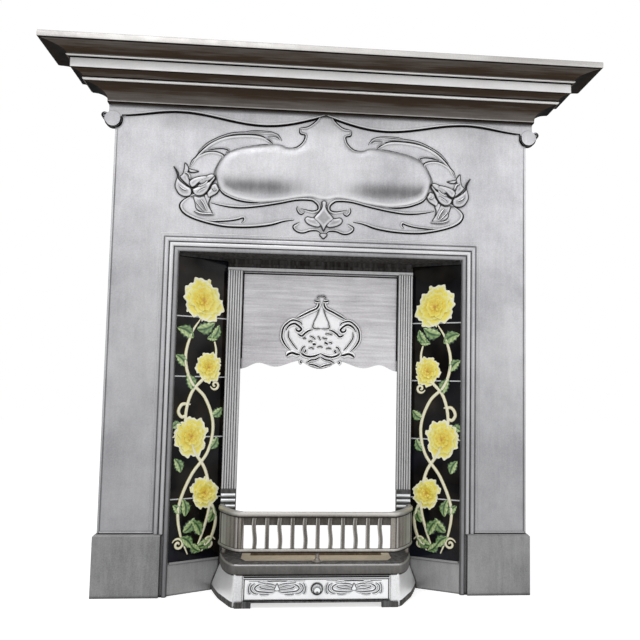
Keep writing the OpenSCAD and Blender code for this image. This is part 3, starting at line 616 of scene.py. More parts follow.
BURNISHED = iron("burnished_iron", (0.75, 0.75, 0.775), (0.42, 0.42, 0.442), 0.74, 0.46, falls=0.75, streak=0.12)
HOOD_IRON = iron("hood_iron", (0.70, 0.69, 0.71), (0.33, 0.32, 0.335), 0.74, 0.44, reach=6, rub=(9, 120, 170),
                 streak=0.32)
# the shelf's iron: its brown dark colour is the painted shade of the coves and the returns
MOULDED = iron("moulded_iron", (0.70, 0.69, 0.675), (0.46, 0.445, 0.43), 0.62, 0.44, soot_and_shade=(0.066, 0.045, 0.031),
               hollow_shade_most=0.5, rub=(8, 90, 150))
PLINTH_IRON = iron("plinth_iron", (0.30, 0.30, 0.302), (0.145, 0.145, 0.148), 0.72, 0.46)
BRIGHT = iron("bright_iron", (0.95, 0.97, 0.99), (0.76, 0.78, 0.80), 0.50, 0.40, reach=3)
PIT_IRON = iron("pit_iron", (0.88, 0.89, 0.90), (0.50, 0.50, 0.51), 0.66, 0.38, soot_and_shade=(0.028, 0.024, 0.020), reach=5)
FIRE_IRON = iron("fire_iron", (0.41, 0.38, 0.34), (0.14, 0.124, 0.107), 0.60, 0.42, soot_and_shade=(0.020, 0.015, 0.011), reach=6)
RAIL_IRON = iron("rail_iron", (0.47, 0.45, 0.42), (0.17, 0.158, 0.142), 0.62, 0.38, soot_and_shade=(0.020, 0.015, 0.011), reach=4,
                 polish_and_highlight=(0.70, 0.68, 0.65))
TAN_IRON = iron("tan_iron", (0.82, 0.69, 0.50), (0.52, 0.43, 0.30), 0.15, 0.66, soot_and_shade=(0.09, 0.06, 0.035), reach=4)
DARK_IRON = iron("rough_iron", (0.12, 0.11, 0.10), (0.045, 0.04, 0.037), 0.55, 0.60)
KICK_IRON = iron("kick_iron", (0.36, 0.36, 0.36), (0.22, 0.22, 0.22), 0.66, 0.46, reach=5)
COLUMN_IRON = iron("column_iron", (0.64, 0.64, 0.65), (0.40, 0.40, 0.41), 0.66, 0.42, soot_and_shade=(0.017, 0.012, 0.009),
                   falls=0.30, reach=4)
BAND_IRON = iron("band_iron", (0.25, 0.24, 0.23), (0.12, 0.115, 0.11), 0.66, 0.42, soot_and_shade=(0.03, 0.026, 0.022), reach=5)
STEEL = steel("oiled_steel")
GLAZE = glaze()
GROUT = grout()
STEM_SLIP = slip("stem_slip", [(0.0, (0.95, 0.92, 0.72)), (0.5, (0.88, 0.84, 0.54)), (0.8, (0.52, 0.46, 0.16)),
                               (1.0, (0.12, 0.11, 0.03))])
PETAL_SLIP = slip("petal_slip", [(0.0, (0.60, 0.30, 0.02)), (0.22, (0.86, 0.62, 0.05)), (0.5, (0.92, 0.81, 0.13)),
                                 (0.78, (0.94, 0.90, 0.34)), (1.0, (0.98, 0.97, 0.82))])
LEAF_SLIP = slip("leaf_slip", [(0.0, (0.010, 0.035, 0.012)), (0.35, (0.05, 0.14, 0.04)), (0.7, (0.36, 0.52, 0.20)),
                               (1.0, (0.74, 0.80, 0.46))])

# ------------------------------------------------------------------ shelf moulding


def quarter(o0, z0, o1, z1, steps=18):
    """A cove: a quarter ellipse that starts upright and ends level."""
    t = np.linspace(0, math.pi / 2, steps)
    return np.stack([o1 - (o1 - o0) * np.cos(t), z0 + (z1 - z0) * np.sin(t)], -1)


def bead(over, z0, z1, proud, steps=9):
    """A small round moulding that bulges by proud between two heights."""
    t = np.linspace(0, math.pi, steps)
    return np.stack([over + proud * np.sin(t), z0 + (z1 - z0) * (1 - np.cos(t)) / 2], -1)


def shelf_section():
    """The shelf's outer face from its foot to its top edge, and how dark each point is."""
    def run(points, first, last):
        """Part of the face, its blacklead and painted shade going evenly from first to last."""
        return np.asarray(points, float), np.linspace(first, last, len(points))

    fascia_foot = FASCIA_TOP - FASCIA_H
    bead_z = fascia_foot - 14.5
    edge_z = SHELF_TOP - SHELF_EDGE
    # the coves and the black runs in the crevices are painted shade, and the beads and the fascia carry a painted
    # highlight
    runs = [
        run([(MOULDING_FOOT, SHELF_FOOT), (MOULDING_FOOT, SHELF_FOOT + 2.2)], 2.0, 2.0),
        run([(MOULDING_FOOT, SHELF_FOOT + 2.4), (MOULDING_FOOT, SHELF_FOOT + 4.6)], 0.3, 0.3),
        run(quarter(MOULDING_FOOT, SHELF_FOOT + 5, LOWER_BEAD - 5, bead_z - 9), 0.78, 1.22),
        run([(LOWER_BEAD - 4.4, bead_z - 8.8), (LOWER_BEAD - 4.1, bead_z - 7.6)], 2.0, 2.0),
        run(bead(LOWER_BEAD - 4, bead_z - 7.4, bead_z, 4.5), -0.1, -0.9),
        run([(LOWER_BEAD - 3.2, bead_z + 0.2), (LOWER_BEAD, bead_z + 1.3)], 2.0, 2.0),
        run(quarter(LOWER_BEAD + 1, bead_z + 1.5, FASCIA - 2, fascia_foot - 2.5, 12), 0.95, 1.2),
        run([(FASCIA - 1.6, fascia_foot - 2.2), (FASCIA - 0.6, fascia_foot - 0.4)], 2.0, 2.0),
        run([(FASCIA, fascia_foot), (FASCIA, FASCIA_TOP - 0.6)], -0.8, -0.8),
        run([(FASCIA, FASCIA_TOP - 0.4), (UPPER_BEAD - 4.4, FASCIA_TOP + 1.7)], 2.0, 2.0),
        run(bead(UPPER_BEAD - 4, FASCIA_TOP + 2.0, FASCIA_TOP + 7, 4.2), 0.1, -0.7),
        run(quarter(UPPER_BEAD, FASCIA_TOP + 8, SHELF_OVER - 6, edge_z - 1.6), 1.12, 0.92),
        run([(SHELF_OVER - 5.6, edge_z - 1.4), (SHELF_OVER - 1.6, edge_z - 0.6)], 2.0, 2.0),
        (np.array([[SHELF_OVER - 0.6, edge_z], [SHELF_OVER, edge_z + 0.8], [SHELF_OVER, SHELF_TOP - 2.5],
                   [SHELF_OVER - 0.8, SHELF_TOP - 0.7], [SHELF_OVER - 2.5, SHELF_TOP]]),
         np.array([0.3, 0.15, 0.20, 0.55, 0.45]))]
    return np.concatenate([r for r, _ in runs]), np.concatenate([d for _, d in runs])


def mantel_shelf():
    """The shelf casting: its section goes round three sides with mitred corners, over a
    hollow that is open to the wall. The returns at both ends lie in shadow, which is laid
    on them as painted shade; near each mitre the path has a point on either side."""
    outer, dark = shelf_section()
    inner_z = SHELF_TOP - 8
    back = WALL_Y - FACE_Y - 0.05
    inside = np.array([[-back, SHELF_TOP], [-back, inner_z], [120, inner_z], [106, inner_z - 6],
                       [84, FASCIA_TOP + 12], [83, FASCIA_TOP - 13.5], [53, FASCIA_TOP - 31], [14, SHELF_FOOT + 26],
                       [8, SURROUND_TOP + 8], [-back, SURROUND_TOP + 8], [-back, SURROUND_TOP], [0.3, SURROUND_TOP],
                       [0.3, SHELF_FOOT]])
    loop = np.concatenate([outer, inside])
    front_tone = np.concatenate([dark, np.full(len(inside), 0.55)])
    front_tone[len(outer)] = 0
    lit = dark < 0.05
    end_tone = front_tone.copy()
    end_tone[:len(outer)] = np.where(lit, dark + 1.1, np.clip(dark + 0.9, 0, 2))
    end_tone[len(outer) - 4:len(outer)] = front_tone[len(outer) - 4:len(outer)]
    over, z = loop[:, 0], loop[:, 1]
    side, front = HALF_W + over, FACE_Y - over
    beside = 1.6
    places = [(-side, np.full(len(loop), WALL_Y)), (-side, np.minimum(front + beside, WALL_Y)),
              (-side, np.minimum(front, WALL_Y)), (-side + np.clip(side, 0, beside), front)]
    rows = [np.stack([x, y, z], -1) for x, y in places]
    rows += [row * np.array([-1, 1, 1]) for row in rows[::-1]]
    tones = [end_tone, end_tone, end_tone, front_tone]
    tones += tones[::-1]
    part = (np.concatenate(rows), tube_faces(len(rows), len(loop)), np.concatenate(tones))
    piece = make("mantel_shelf_casting", [part], MOULDED, sharp=32)
    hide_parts("mantel_shelf")


# ------------------------------------------------------------------ surround


def border():
    """Three half-round reeds that go up, across and down round the opening, each with painted
    shade on its flanks and the middle one with a painted highlight on its crown; the inner
    one lies in painted shadow, and black lines divide it from the next two. Outside them run
    a soft dark line and a painted highlight."""
    t = np.linspace(0, math.pi, 13)
    parts = []
    for i, (crown, left, right) in enumerate(((0.32, 1.0, 1.0), (-0.75, 1.0, 1.0), (-0.1, 0.85, 0.3))):
        tone = crown + 0.4 * np.cos(t) ** 2
        tone = np.where(np.cos(t) > 0.88, left, np.where(np.cos(t) < -0.88, right, tone))
        middle = REED_PITCH * (i + 0.5)
        proud = np.stack([middle - REED_W / 2 * np.cos(t), -FACE_Y + REED_PROUD * np.sin(t)], -1)
        section = np.concatenate([proud, [[middle + REED_W / 2, -FACE_Y - 0.6], [middle - REED_W / 2, -FACE_Y - 0.6]]])
        foot = 0.5 if i == 0 else PLINTH_TOP
        path = [(-OPEN_X, foot), (-OPEN_X, OPEN_TOP), (OPEN_X, OPEN_TOP), (OPEN_X, foot)]
        parts.append(swept(path, section, np.concatenate([tone, [0.9, 0.9]])))
    for gap, width, section in ((DARK_LINE_OUT, 2.2, SOFT_LINE), (LIT_LINE_OUT, 2.0, LIT_LINE)):
        side, head = OPEN_X + gap, OPEN_TOP + gap
        outer = [(-side, PLINTH_TOP + 1), (-side, head), (side, head), (side, PLINTH_TOP + 1)]
        for a, b in zip(outer[:-1], outer[1:]):
            parts.append(raised_line([a, b], FACE_Y, width, 0.5, section, tips=(1, 1), per_span=2))
    make("border_reeds", parts, BURNISHED, sharp=50)


# Lines of the frieze's left half, with their width and height; each has a black painted
# shadow along one edge and a painted highlight along the other, and the black side faces
# away from the middle of the cartouche
FRIEZE_LINES = [
    ([(-344, 1078), (-325, 1110), (-293, 1141), (-255, 1159), (-209, 1166), (-166, 1164), (-137, 1147)], 8.0, 4.0),
    ([(-327, 1117), (-298, 1144), (-248, 1168), (-197, 1174), (-132, 1174), (-114, 1156)], 5.5, 3.2),
    ([(-215, 1173), (-192, 1178), (-166, 1179), (-140, 1177), (-124, 1169), (-113, 1158)], 4.6, 3.0),
    ([(-120, 1160), (-132, 1165), (-150, 1166)], 4.2, 2.6),
    ([(-137, 1148), (-145, 1156), (-160, 1161)], 5.0, 3.2),
    ([(-137, 1144), (-162, 1142), (-190, 1137), (-213, 1132), (-234, 1125), (-249, 1118)], 5.5, 3.2),
    ([(-346, 1078), (-339, 1094), (-322, 1108), (-302, 1117), (-282, 1118), (-266, 1113), (-261, 1106), (-268, 1097)],
     6.5, 3.4),
    ([(-302, 1123), (-282, 1128), (-262, 1129), (-249, 1125), (-256, 1119)], 4.4, 2.6),
    ([(-256, 1116), (-268, 1100), (-277, 1084), (-284, 1065), (-283, 1050)], 2.6, 2.0),
    ([(-271, 1025), (-258, 1011), (-242, 1003), (-222, 996), (-196, 992), (-166, 991)], 7.5, 3.6),
    ([(-116, 1144), (-98, 1136), (-75, 1139), (-57, 1155), (-52, 1174), (-65, 1179), (-68, 1192)], 6.5, 3.4),
    ([(-68, 1192), (-45, 1196), (-24, 1213), (-14, 1228)], 6.0, 3.2),
    ([(-290, 986), (-267, 981), (-237, 977), (-204, 977), (-160, 983), (-115, 992), (-71, 1002), (-35, 1003),
      (-22, 997), (-14, 987), (-16, 976), (-29, 972), (-47, 975), (-60, 979)], 7.2, 3.6),
    ([(-68, 985), (-68, 974), (-60, 965), (-50, 970)], 5.5, 3.0),
    ([(-341, 1000), (-357, 990), (-366, 976), (-359, 960), (-341, 948), (-316, 939), (-283, 931), (-245, 926),
      (-189, 927), (-139, 934), (-103, 945), (-77, 949)], 8.0, 3.8),
    ([(-316, 941), (-286, 938), (-245, 941), (-223, 945), (-207, 950), (-204, 944), (-210, 936)], 6.2, 3.0),
    ([(-62, 943), (-69, 938), (-77, 932), (-74, 924), (-64, 918), (-51, 917), (-33, 923), (-15, 923), (-4, 914)],
     6.5, 3.4),
]
# Lapped petals of the blossom at the cartouche's left end: outline, base, rise and the
# width over which each one swells
FRIEZE_PETALS = [
    ([(-336, 1003), (-320, 1000), (-308, 1003), (-299, 993), (-294, 977), (-284, 958), (-299, 957), (-313, 959),
      (-327, 968), (-331, 984)], 0.3, 2.2, 8),
    ([(-308, 1003), (-297, 1008), (-290, 999), (-294, 984), (-289, 966), (-299, 980)], 0.9, 2.4, 6),
    ([(-359, 1088), (-350, 1079), (-347, 1070), (-350, 1058), (-346, 1047), (-341, 1023), (-353, 1030), (-365, 1041),
      (-371, 1050), (-364, 1058), (-361, 1072)], 0.8, 3.4, 9),
    ([(-387, 1077), (-378, 1067), (-373, 1058), (-373, 1047), (-367, 1039), (-353, 1028), (-341, 1021), (-338, 1012),
      (-341, 1001), (-355, 997), (-369, 1002), (-377, 1012), (-382, 1023), (-381, 1036), (-377, 1050), (-380, 1062)],
     1.6, 4.2, 11),
    ([(-350, 1072), (-336, 1070), (-322, 1066), (-334, 1061), (-346, 1062)], 0.8, 2.0, 5),
    ([(-329, 1039), (-316, 1049), (-299, 1058), (-289, 1061), (-281, 1056), (-288, 1047), (-299, 1039), (-313, 1032)],
     2.0, 3.0, 8),
    ([(-341, 1023), (-347, 1036), (-337, 1047), (-320, 1053), (-304, 1055), (-298, 1049), (-313, 1041), (-323, 1033),
      (-332, 1024)], 3.0, 3.0, 8),
    ([(-293, 1022), (-289, 1032), (-278, 1036), (-272, 1027), (-269, 1019), (-276, 1008), (-289, 1000), (-296, 997),
      (-301, 1009)], 1.8, 3.2, 8),
    ([(-338, 1017), (-329, 1023), (-316, 1030), (-308, 1039), (-297, 1039), (-289, 1048), (-281, 1056), (-280, 1047),
      (-288, 1035), (-293, 1025), (-299, 1013), (-308, 1004), (-320, 1000), (-332, 1004)], 3.6, 3.8, 11),
]
# Short creases on the petals, as line, width and height above the plate
FRIEZE_CREASES = [
    ([(-370, 1024), (-362, 1017), (-352, 1013)], 3.4, 5.2), ([(-322, 1026), (-308, 1033), (-300, 1041)], 3.6, 6.6),
    ([(-325, 1008), (-314, 1018), (-300, 1024)], 3.0, 6.4), ([(-317, 992), (-308, 980), (-300, 964)], 3.4, 2.9),
    ([(-327, 985), (-318, 974), (-306, 962)], 3.0, 2.6), ([(-358, 1060), (-349, 1056), (-344, 1044)], 3.4, 4.0),
    ([(-288, 1022), (-281, 1016), (-276, 1019)], 2.8, 4.6), ([(-341, 1000), (-330, 1003), (-316, 1001)], 3.0, 2.4),
    ([(-331, 962), (-316, 956), (-300, 955), (-281, 955)], 3.6, 1.6),
]
# Left half of the cartouche's outline, from its neck to its foot
CARTOUCHE = [(0, 1231), (-14, 1226), (-24, 1211), (-45, 1194), (-64, 1190), (-63, 1181), (-50, 1175), (-55, 1155),
             (-73, 1140), (-97, 1138), (-116, 1146), (-137, 1146), (-201, 1137), (-231, 1128), (-254, 1116),
             (-273, 1089), (-280, 1060), (-270, 1026), (-256, 1012), (-238, 1003), (-209, 995), (-166, 991),
             (-115, 996), (-71, 1005), (-35, 1010), (0, 1004)]
# Petals and drop of the ornament below the cartouche, as the blossom's petals
PENDANT = [
    ([(-20, 956), (-31, 957), (-43, 959), (-50, 951), (-44, 940), (-29, 933), (-12, 931), (-7, 940)], 0.7, 3.2, 9),
    ([(20, 956), (31, 957), (43, 959), (50, 951), (44, 940), (29, 933), (12, 931), (7, 940)], 0.7, 3.2, 9),
    ([(0, 1002), (-7, 998), (-6, 985), (-13, 972), (-23, 961), (-26, 953), (-16, 944), (-7, 934), (0, 921), (7, 934),
      (16, 944), (26, 953), (23, 961), (13, 972), (6, 985), (7, 998)], 1.8, 4.0, 11),
    ([(-11, 913), (0, 917), (11, 913), (3, 902), (-3, 902)], 0.8, 2.4, 5),
]


def cartouche_field(x, z):
    """The cartouche's dome: height H * sqrt(1 - (1 - d / 26)^2) at the depth d inside its
    outline, H falling from the round ends to the neck; a painted highlight lies along its
    lower rim, soft painted shade across the lower half of each end, and the rest of the dome
    is a little brighter."""
    outline = closed_curve(CARTOUCHE + [(-px, pz) for px, pz in CARTOUCHE[-2:0:-1]], 4)
    d = inside_depth(x, z, outline)
    tall = 9 - 3 * np.exp(-(x / 110) ** 2) - 3.0 * np.clip((z - 1130) / 60, 0, 1)
    up = np.where(d > 0, tall * np.sqrt(np.clip(1 - (1 - np.clip(d / 26, 0, 1)) ** 2, 0, 1)), np.clip(d * 0.8, -0.8, 0))
    # painted highlight along the lower rim and painted shade across the lower half of each end
    low_rim = np.clip((1046 - z) / 40, 0, 1) * np.exp(-((d - 5) / 4.0) ** 2)
    lower_shade = np.exp(-((z - 1030) / 24) ** 2) * np.clip((np.abs(x) - 20) / 110, 0, 1) * np.clip((d - 9) / 12, 0, 1)
    shade = 0.60 * lower_shade - 0.9 * low_rim - 0.06 * (1 - lower_shade) * np.clip(d / 20, 0, 1)
    return up, shade


def frieze():
    """The frieze's relief, drawn on its left half and mirrored."""
    heart = (0, 1075)
    lines = FRIEZE_LINES + [(mirrored(curve), width, up) for curve, width, up in FRIEZE_LINES]
    scrolls = [raised_line(curve, FACE_Y, width, up, LEDGE, dark_from=heart) for curve, width, up in lines]
    make("frieze_scrolls", scrolls, BURNISHED)
    make("frieze_cartouche", [height_field(-290, 290, 982, 1238, 2.5, cartouche_field, FACE_Y)], BURNISHED)
    right = [(mirrored(outline), base, rise, width) for outline, base, rise, width in FRIEZE_PETALS]
    parts = [height_field(-392, -264, 952, 1092, 1.1, lapped(FRIEZE_PETALS), FACE_Y),
             height_field(264, 392, 952, 1092, 1.1, lapped(right), FACE_Y),
             height_field(-54, 54, 894, 1000, 1.1, lapped(PENDANT), FACE_Y)]
    for curve, width, up in FRIEZE_CREASES:
        for path in (curve, mirrored(curve)):
            parts.append(raised_line(path, FACE_Y - up - 1.3, width, 1.0, LEDGE, dark_from=heart, per_span=6))
    make("frieze_blossoms", parts, BURNISHED)


def valance_edge(x):
    """Height of the valance's wavy lower edge: a quarter sine at the middle, then two
    half waves out to the ears."""
    a = np.abs(x)
    low_x, high_x, end_x = 160, 375, 537
    middle = 45 - 34 * (1 - np.sin(math.pi / 2 * np.clip(a / low_x, 0, 1)))
    outer = np.where(a < high_x, wave(a, low_x, high_x, 45, 19), wave(a, high_x, end_x, 19, 36))
    return SURROUND_TOP - np.where(a < low_x, middle, outer)


def valance_line():
    """A black line of painted shadow under the valance's wavy edge and a painted highlight along the lip above it."""
    x = np.linspace(4, 512, 60)
    parts = []
    for side in (-1, 1):
        under = np.stack([side * x, valance_edge(x) - 1.9], -1)
        parts.append(raised_line(under, FACE_Y, 5.4, 0.5, DARK_LINE, tips=(1, 0.5), per_span=2))
        lip = np.stack([side * x, valance_edge(x) + 2.6], -1)
        parts.append(raised_line(lip, FACE_Y - 5, 3.6, 0.6, LIT_LINE, tips=(1, 0.5), per_span=2))
    make("valance_shadow_and_highlight", parts, BURNISHED)


def ears():
    """Black outlines of the ear at each end of the valance and of the small roll beside
    it, a black painted shadow of each ear on the plate, the lines down the outside of each
    jamb, the outer one a painted highlight, and a painted highlight along the ledge at its
    foot."""
    parts = []
    for side in (-1, 1):
        ear = (side * (HALF_W + EAR_OUT), SURROUND_TOP - EAR_DOWN)
        rim = arc(ear, EAR_R - 1.2, -170, 22, 26, side)
        parts.append(raised_line(rim, FACE_Y - 6, 3.0, 0.5, DARK_LINE, per_span=2))
        shadow = arc(ear, EAR_R + 1.6, -62, 40, 14, side)
        parts.append(raised_line(shadow, FACE_Y, 3.4, 0.5, DARK_LINE, per_span=2))
        middle = (side * (HALF_W + ROLL_OUT), SURROUND_TOP - ROLL_DOWN)
        roll = spiral(middle, 7.4, -side * 1.3, math.pi / 2, 2.0, 22)
        parts.append(raised_line(roll, FACE_Y + 2, 3.6, 0.6, DARK_LINE, per_span=2))
        for inset, width, section in ((6.0, 2.6, SOFT_LINE), (2.6, 2.4, LIT_LINE)):
            edge = [(side * (HALF_W - inset), end) for end in (PLINTH_TOP + 1, SURROUND_TOP - 72)]
            parts.append(raised_line(edge, FACE_Y, width, 0.4, section, tips=(1, 0.4), per_span=20))
        ledge = [(side * (HALF_W - 5), PLINTH_TOP + 3.5), (side * (OPEN_X + 38), PLINTH_TOP + 3.5)]
        parts.append(raised_line(ledge, FACE_Y, 5.0, 1.6, LIT_LINE, tips=(1, 1), per_span=2))
    make("ear_outlines_and_painted_light", parts, BURNISHED)


# ------------------------------------------------------------------ hood and cover

# Scored lines of the hood's left half, black in the groove with painted highlights on
# the lips, with their width; then the marks of the leaves
HOOD_LINES = [
    ([(-4, 747), (-5, 740), (-6, 735), (-12, 727), (-27, 720), (-40, 713), (-53, 706), (-65, 700)], 6.4),
    ([(-48, 683), (-53, 690), (-67, 695), (-77, 694), (-87, 687), (-96, 677), (-100, 666), (-101, 650), (-97, 638),
      (-88, 625), (-76, 613)], 6.0),
    ([(-91, 668), (-85, 678), (-77, 684), (-68, 686), (-60, 682), (-53, 676), (-50, 671), (-56, 666), (-63, 669),
      (-65, 675)], 7.4),
    ([(-83, 668), (-84, 653), (-78, 641), (-68, 627), (-59, 617)], 4.2),
    ([(-59, 659), (-53, 655), (-47, 654), (-40, 661), (-30, 668), (-20, 671)], 6.4),
    ([(-17, 691), (-20, 679), (-14, 674), (2, 674)], 4.4),
    ([(-3, 729), (-10, 708), (-22, 683)], 1.8), ([(-38, 625), (-44, 624), (-48, 616), (-44, 606)], 4.6),
    ([(-88, 599), (-82, 605), (-72, 608), (-62, 605), (-53, 604)], 8.0),
    ([(-52, 615), (-47, 607), (-40, 602), (-27, 599), (-13, 601), (2, 608)], 7.0),
    ([(-35, 583), (-23, 590), (-11, 592), (2, 599)], 5.4), ([(-28, 579), (-13, 577), (2, 571)], 5.4),
    ([(-17, 749), (-10, 747), (-2, 747)], 6.0), ([(-10, 757), (-4, 761), (2, 762)], 3.4),
]
HOOD_MARKS = [
    ([(-31, 638), (-25, 641), (-20, 639)], 4.6), ([(-19, 631), (-15, 633), (-11, 631)], 7.0),
    ([(12, 637), (16, 636), (21, 633)], 7.0), ([(24, 637), (29, 638), (32, 634)], 4.6),
    ([(-28, 654), (-20, 652), (-12, 645)], 4.2), ([(13, 660), (22, 661), (33, 658)], 4.2),
    ([(-6, 655), (-2, 650), (1, 643)], 4.0), ([(6, 652), (12, 648), (20, 648)], 3.6),
    ([(-36, 646), (-42, 649), (-44, 645)], 3.6), ([(-8, 624), (0, 627), (8, 624)], 3.6),
    ([(-30, 621), (-22, 623), (-15, 619)], 3.6), ([(16, 620), (24, 623), (31, 620)], 3.6),
    ([(-40, 617), (-37, 614), (-41, 611)], 6.0), ([(42, 618), (40, 614), (44, 611)], 6.0),
    ([(-48, 588), (-50, 584), (-46, 582)], 6.0), ([(50, 588), (53, 584), (49, 582)], 6.0),
]
# Left half of the low swelling behind the relief, from its top to its foot
HOOD_GROUND = [(2, 764), (-9, 752), (-10, 738), (-30, 722), (-62, 706), (-96, 690), (-110, 664), (-108, 640),
               (-92, 612), (-96, 596), (-60, 590), (-50, 572), (2, 566)]
# The relief's middle lies a little right of the fireplace's: a point and its mirror
# image add up to this
HOOD_MIRROR = 4


def hood_edge(x):
    """Height of the hood's lower edge: an arch of a quarter cosine over the middle, then
    half a wave down to the dip."""
    a = np.abs(x)
    arch_half, dip_x, spring, crown, dip = 50, 118, 588, 21, 571
    arch = spring - crown * np.cos(math.pi / 2 * np.clip(a / arch_half, 0, 1))
    return np.where(a < arch_half, arch, wave(a, arch_half, dip_x, spring, dip))


def hood_ground(x, z):
    """The low swelling behind the relief, brighter than the plate round it: it rises as a quarter
    sine of the depth inside its outline."""
    outline = closed_curve(HOOD_GROUND + [(HOOD_MIRROR - px, pz) for px, pz in HOOD_GROUND[-2:0:-1]], 4)
    d = inside_depth(x, z, outline)
    up = np.where(d > 0, 1.4 * np.sin(np.clip(d / 30, 0, 1) * math.pi / 2), np.clip(d, -0.8, 0))
    return up, -0.85 * np.clip(d / 22, 0, 1)


def hood_relief():
    """A roofed vase of leaves between two scrolls, on the middle of the hood, and the
    black joint between the hood and the columns."""
    parts = [height_field(-112, 116, 566, 766, 2.5, hood_ground, HOOD_Y, foot=lambda x: hood_edge(x) + 0.6)]
    paths = HOOD_LINES + HOOD_MARKS
    paths += [([(HOOD_MIRROR - x, z) for x, z in curve], width) for curve, width in HOOD_LINES]
    parts += [raised_line(curve, HOOD_Y - 1.2, width, 2.0, SCORE, per_span=6) for curve, width in paths]
    joint = [(-HOOD_HALF_W, HOOD_SIDE_FOOT), (-HOOD_HALF_W, HOOD_HEAD), (HOOD_HALF_W, HOOD_HEAD),
             (HOOD_HALF_W, HOOD_SIDE_FOOT)]
    for a, b in zip(joint[:-1], joint[1:]):
        parts.append(raised_line([a, b], HOOD_Y, 3.0, 0.6, DARK_LINE, tips=(1, 1), per_span=2))
    make("hood_relief", parts, HOOD_IRON)


# One half of a cover panel's strapwork, from the panel's middle outwards
COVER_LOOPS = [
    ([(4, 7), (12, 10), (28, 11), (44, 8), (52, 1), (46, -6), (30, -8), (14, -9), (4, -7)], 4.4),
    ([(3, -3), (14, -2), (26, -1), (38, 2), (40, 6), (30, 7), (16, 5), (5, 1)], 3.6),
    ([(52, 12), (60, 6), (61, -3), (54, -10), (44, -13)], 4.0),
    ([(62, 13), (66, 4), (66, -8), (62, -13)], 3.4), ([(20, 14), (32, 15), (44, 13)], 3.2),
    ([(18, -13), (30, -14), (40, -13)], 3.0),
]
COVER_LEAF = [(-7, -3), (-4, 4), (0, 12), (4, 4), (7, -3), (0, -6)]


def cover_relief():
    """Two panels of interlaced strapwork on the ash cover, the black joints round it and
    dark lines along its top and foot."""
    parts = []
    for centre in PANEL_X:
        for curve, width in COVER_LOOPS:
            for way in (-1, 1):
                path = [(centre + way * x, COVER_MIDDLE_Z + z) for x, z in curve]
                parts.append(raised_line(path, COVER_Y, width * 1.12, 1.8, SOFT_SCORE, per_span=5))
        outline = [(centre + x, COVER_MIDDLE_Z + z) for x, z in COVER_LEAF]
        parts.append(height_field(centre - 8, centre + 8, COVER_MIDDLE_Z - 8, COVER_MIDDLE_Z + 13, 0.8,
                                  lapped([(outline, 0.8, 1.6, 4)], rim_dark=1.0), COVER_Y))
        parts.append(raised_line([(centre - 66, 62), (centre + 66, 62)], COVER_Y, 2.4, 0.7, DARK_LINE, per_span=2))
    for x in (-COVER_HALF - 4, COVER_HALF + 4):
        parts.append(raised_line([(x, 14), (x, 72)], COVER_Y, 2.0, 0.7, DARK_LINE, tips=(1, 1), per_span=2))
    # the upper and the lower line lie on the cover's proud beads
    for z, width, proud in ((71.4, 3.2, 2.0), (66.4, 2.8, 0.0), (17.6, 3.0, 2.0)):
        line = [(-COVER_HALF - 5, z), (COVER_HALF + 5, z)]
        parts.append(raised_line(line, COVER_Y - proud, width, 0.6, DARK_LINE, tips=(1, 1), per_span=2))
    make("cover_scrolls", parts, BRIGHT, body="ash_cover", slot="bright_iron")


def base_ribs():
    """Three bright ribs across each column's base block."""
    t = np.linspace(0, 2 * math.pi, 14, endpoint=False)
    parts = []
    for side in (-1, 1):
        for z in RIB_Z:
            ring = np.stack([INSERT_Y - 12 + RIB_R * np.cos(t), z + RIB_R * np.sin(t)], -1)
            parts.append(rod((side * RIB_ENDS[0], side * RIB_ENDS[1]), ring, 0))
    make("base_block_ribs", parts, BRIGHT, sharp=50)


def column_reeds():
    """Fine reeds up the face of each column, each half a circle flattened to 2.8 mm, with
    painted shade on its flanks and a painted highlight on its crown."""
    half_w, ground, back, proud = COLUMN_HALF_W, -INSERT_Y + 6.4, -INSERT_Y - 0.5, 2.8
    t = np.linspace(0, math.pi, 9)[1:-1]
    pitch = 2 * half_w / COLUMN_REEDS
    section, tone = [(-half_w, back), (-half_w, ground)], [0.9, 1.0]
    for k in range(COLUMN_REEDS):
        at = -half_w + pitch * (k + 0.5)
        section += [(at - pitch / 2 * math.cos(a), ground + proud * math.sin(a)) for a in t]
        section.append((at + pitch / 2, ground))
        tone += [0.2, 0.05, -0.12, -0.22, -0.12, 0.05, 0.2, 0.42]
    section.append((half_w, back))
    tone.append(0.9)
    points, faces, shade = swept([(0, COLUMN_FOOT), (0, COLUMN_TOP)], [(-x, y) for x, y in section], tone)
    parts = [(points + np.array([middle, 0, 0]), faces, shade) for middle in (-COLUMN_X, COLUMN_X)]
    make("column_reeds", parts, COLUMN_IRON, sharp=50)


def front_curve(t):
    """Plan of the fire front's right end: x grows as sin(t)^p and y falls as cos(t)^p."""
    x = FRONT_FLAT + (FRONT_HALF - FRONT_FLAT) * np.sin(t) ** FRONT_POWER
    y = FACE_Y + FRONT_BACK - (FRONT_OUT + FRONT_BACK) * np.cos(t) ** FRONT_POWER
    return np.stack([x, y], -1)


def front_plan():
    """The fire front's outline in plan, from the right end to the left: straight
    forward, then the curved end, and the same mirrored."""
    right = np.concatenate([[[FRONT_HALF, FACE_Y + FRONT_END]], front_curve(np.linspace(math.pi / 2, 0, 26))])
    return np.concatenate([right, right[::-1] * np.array([-1, 1])])


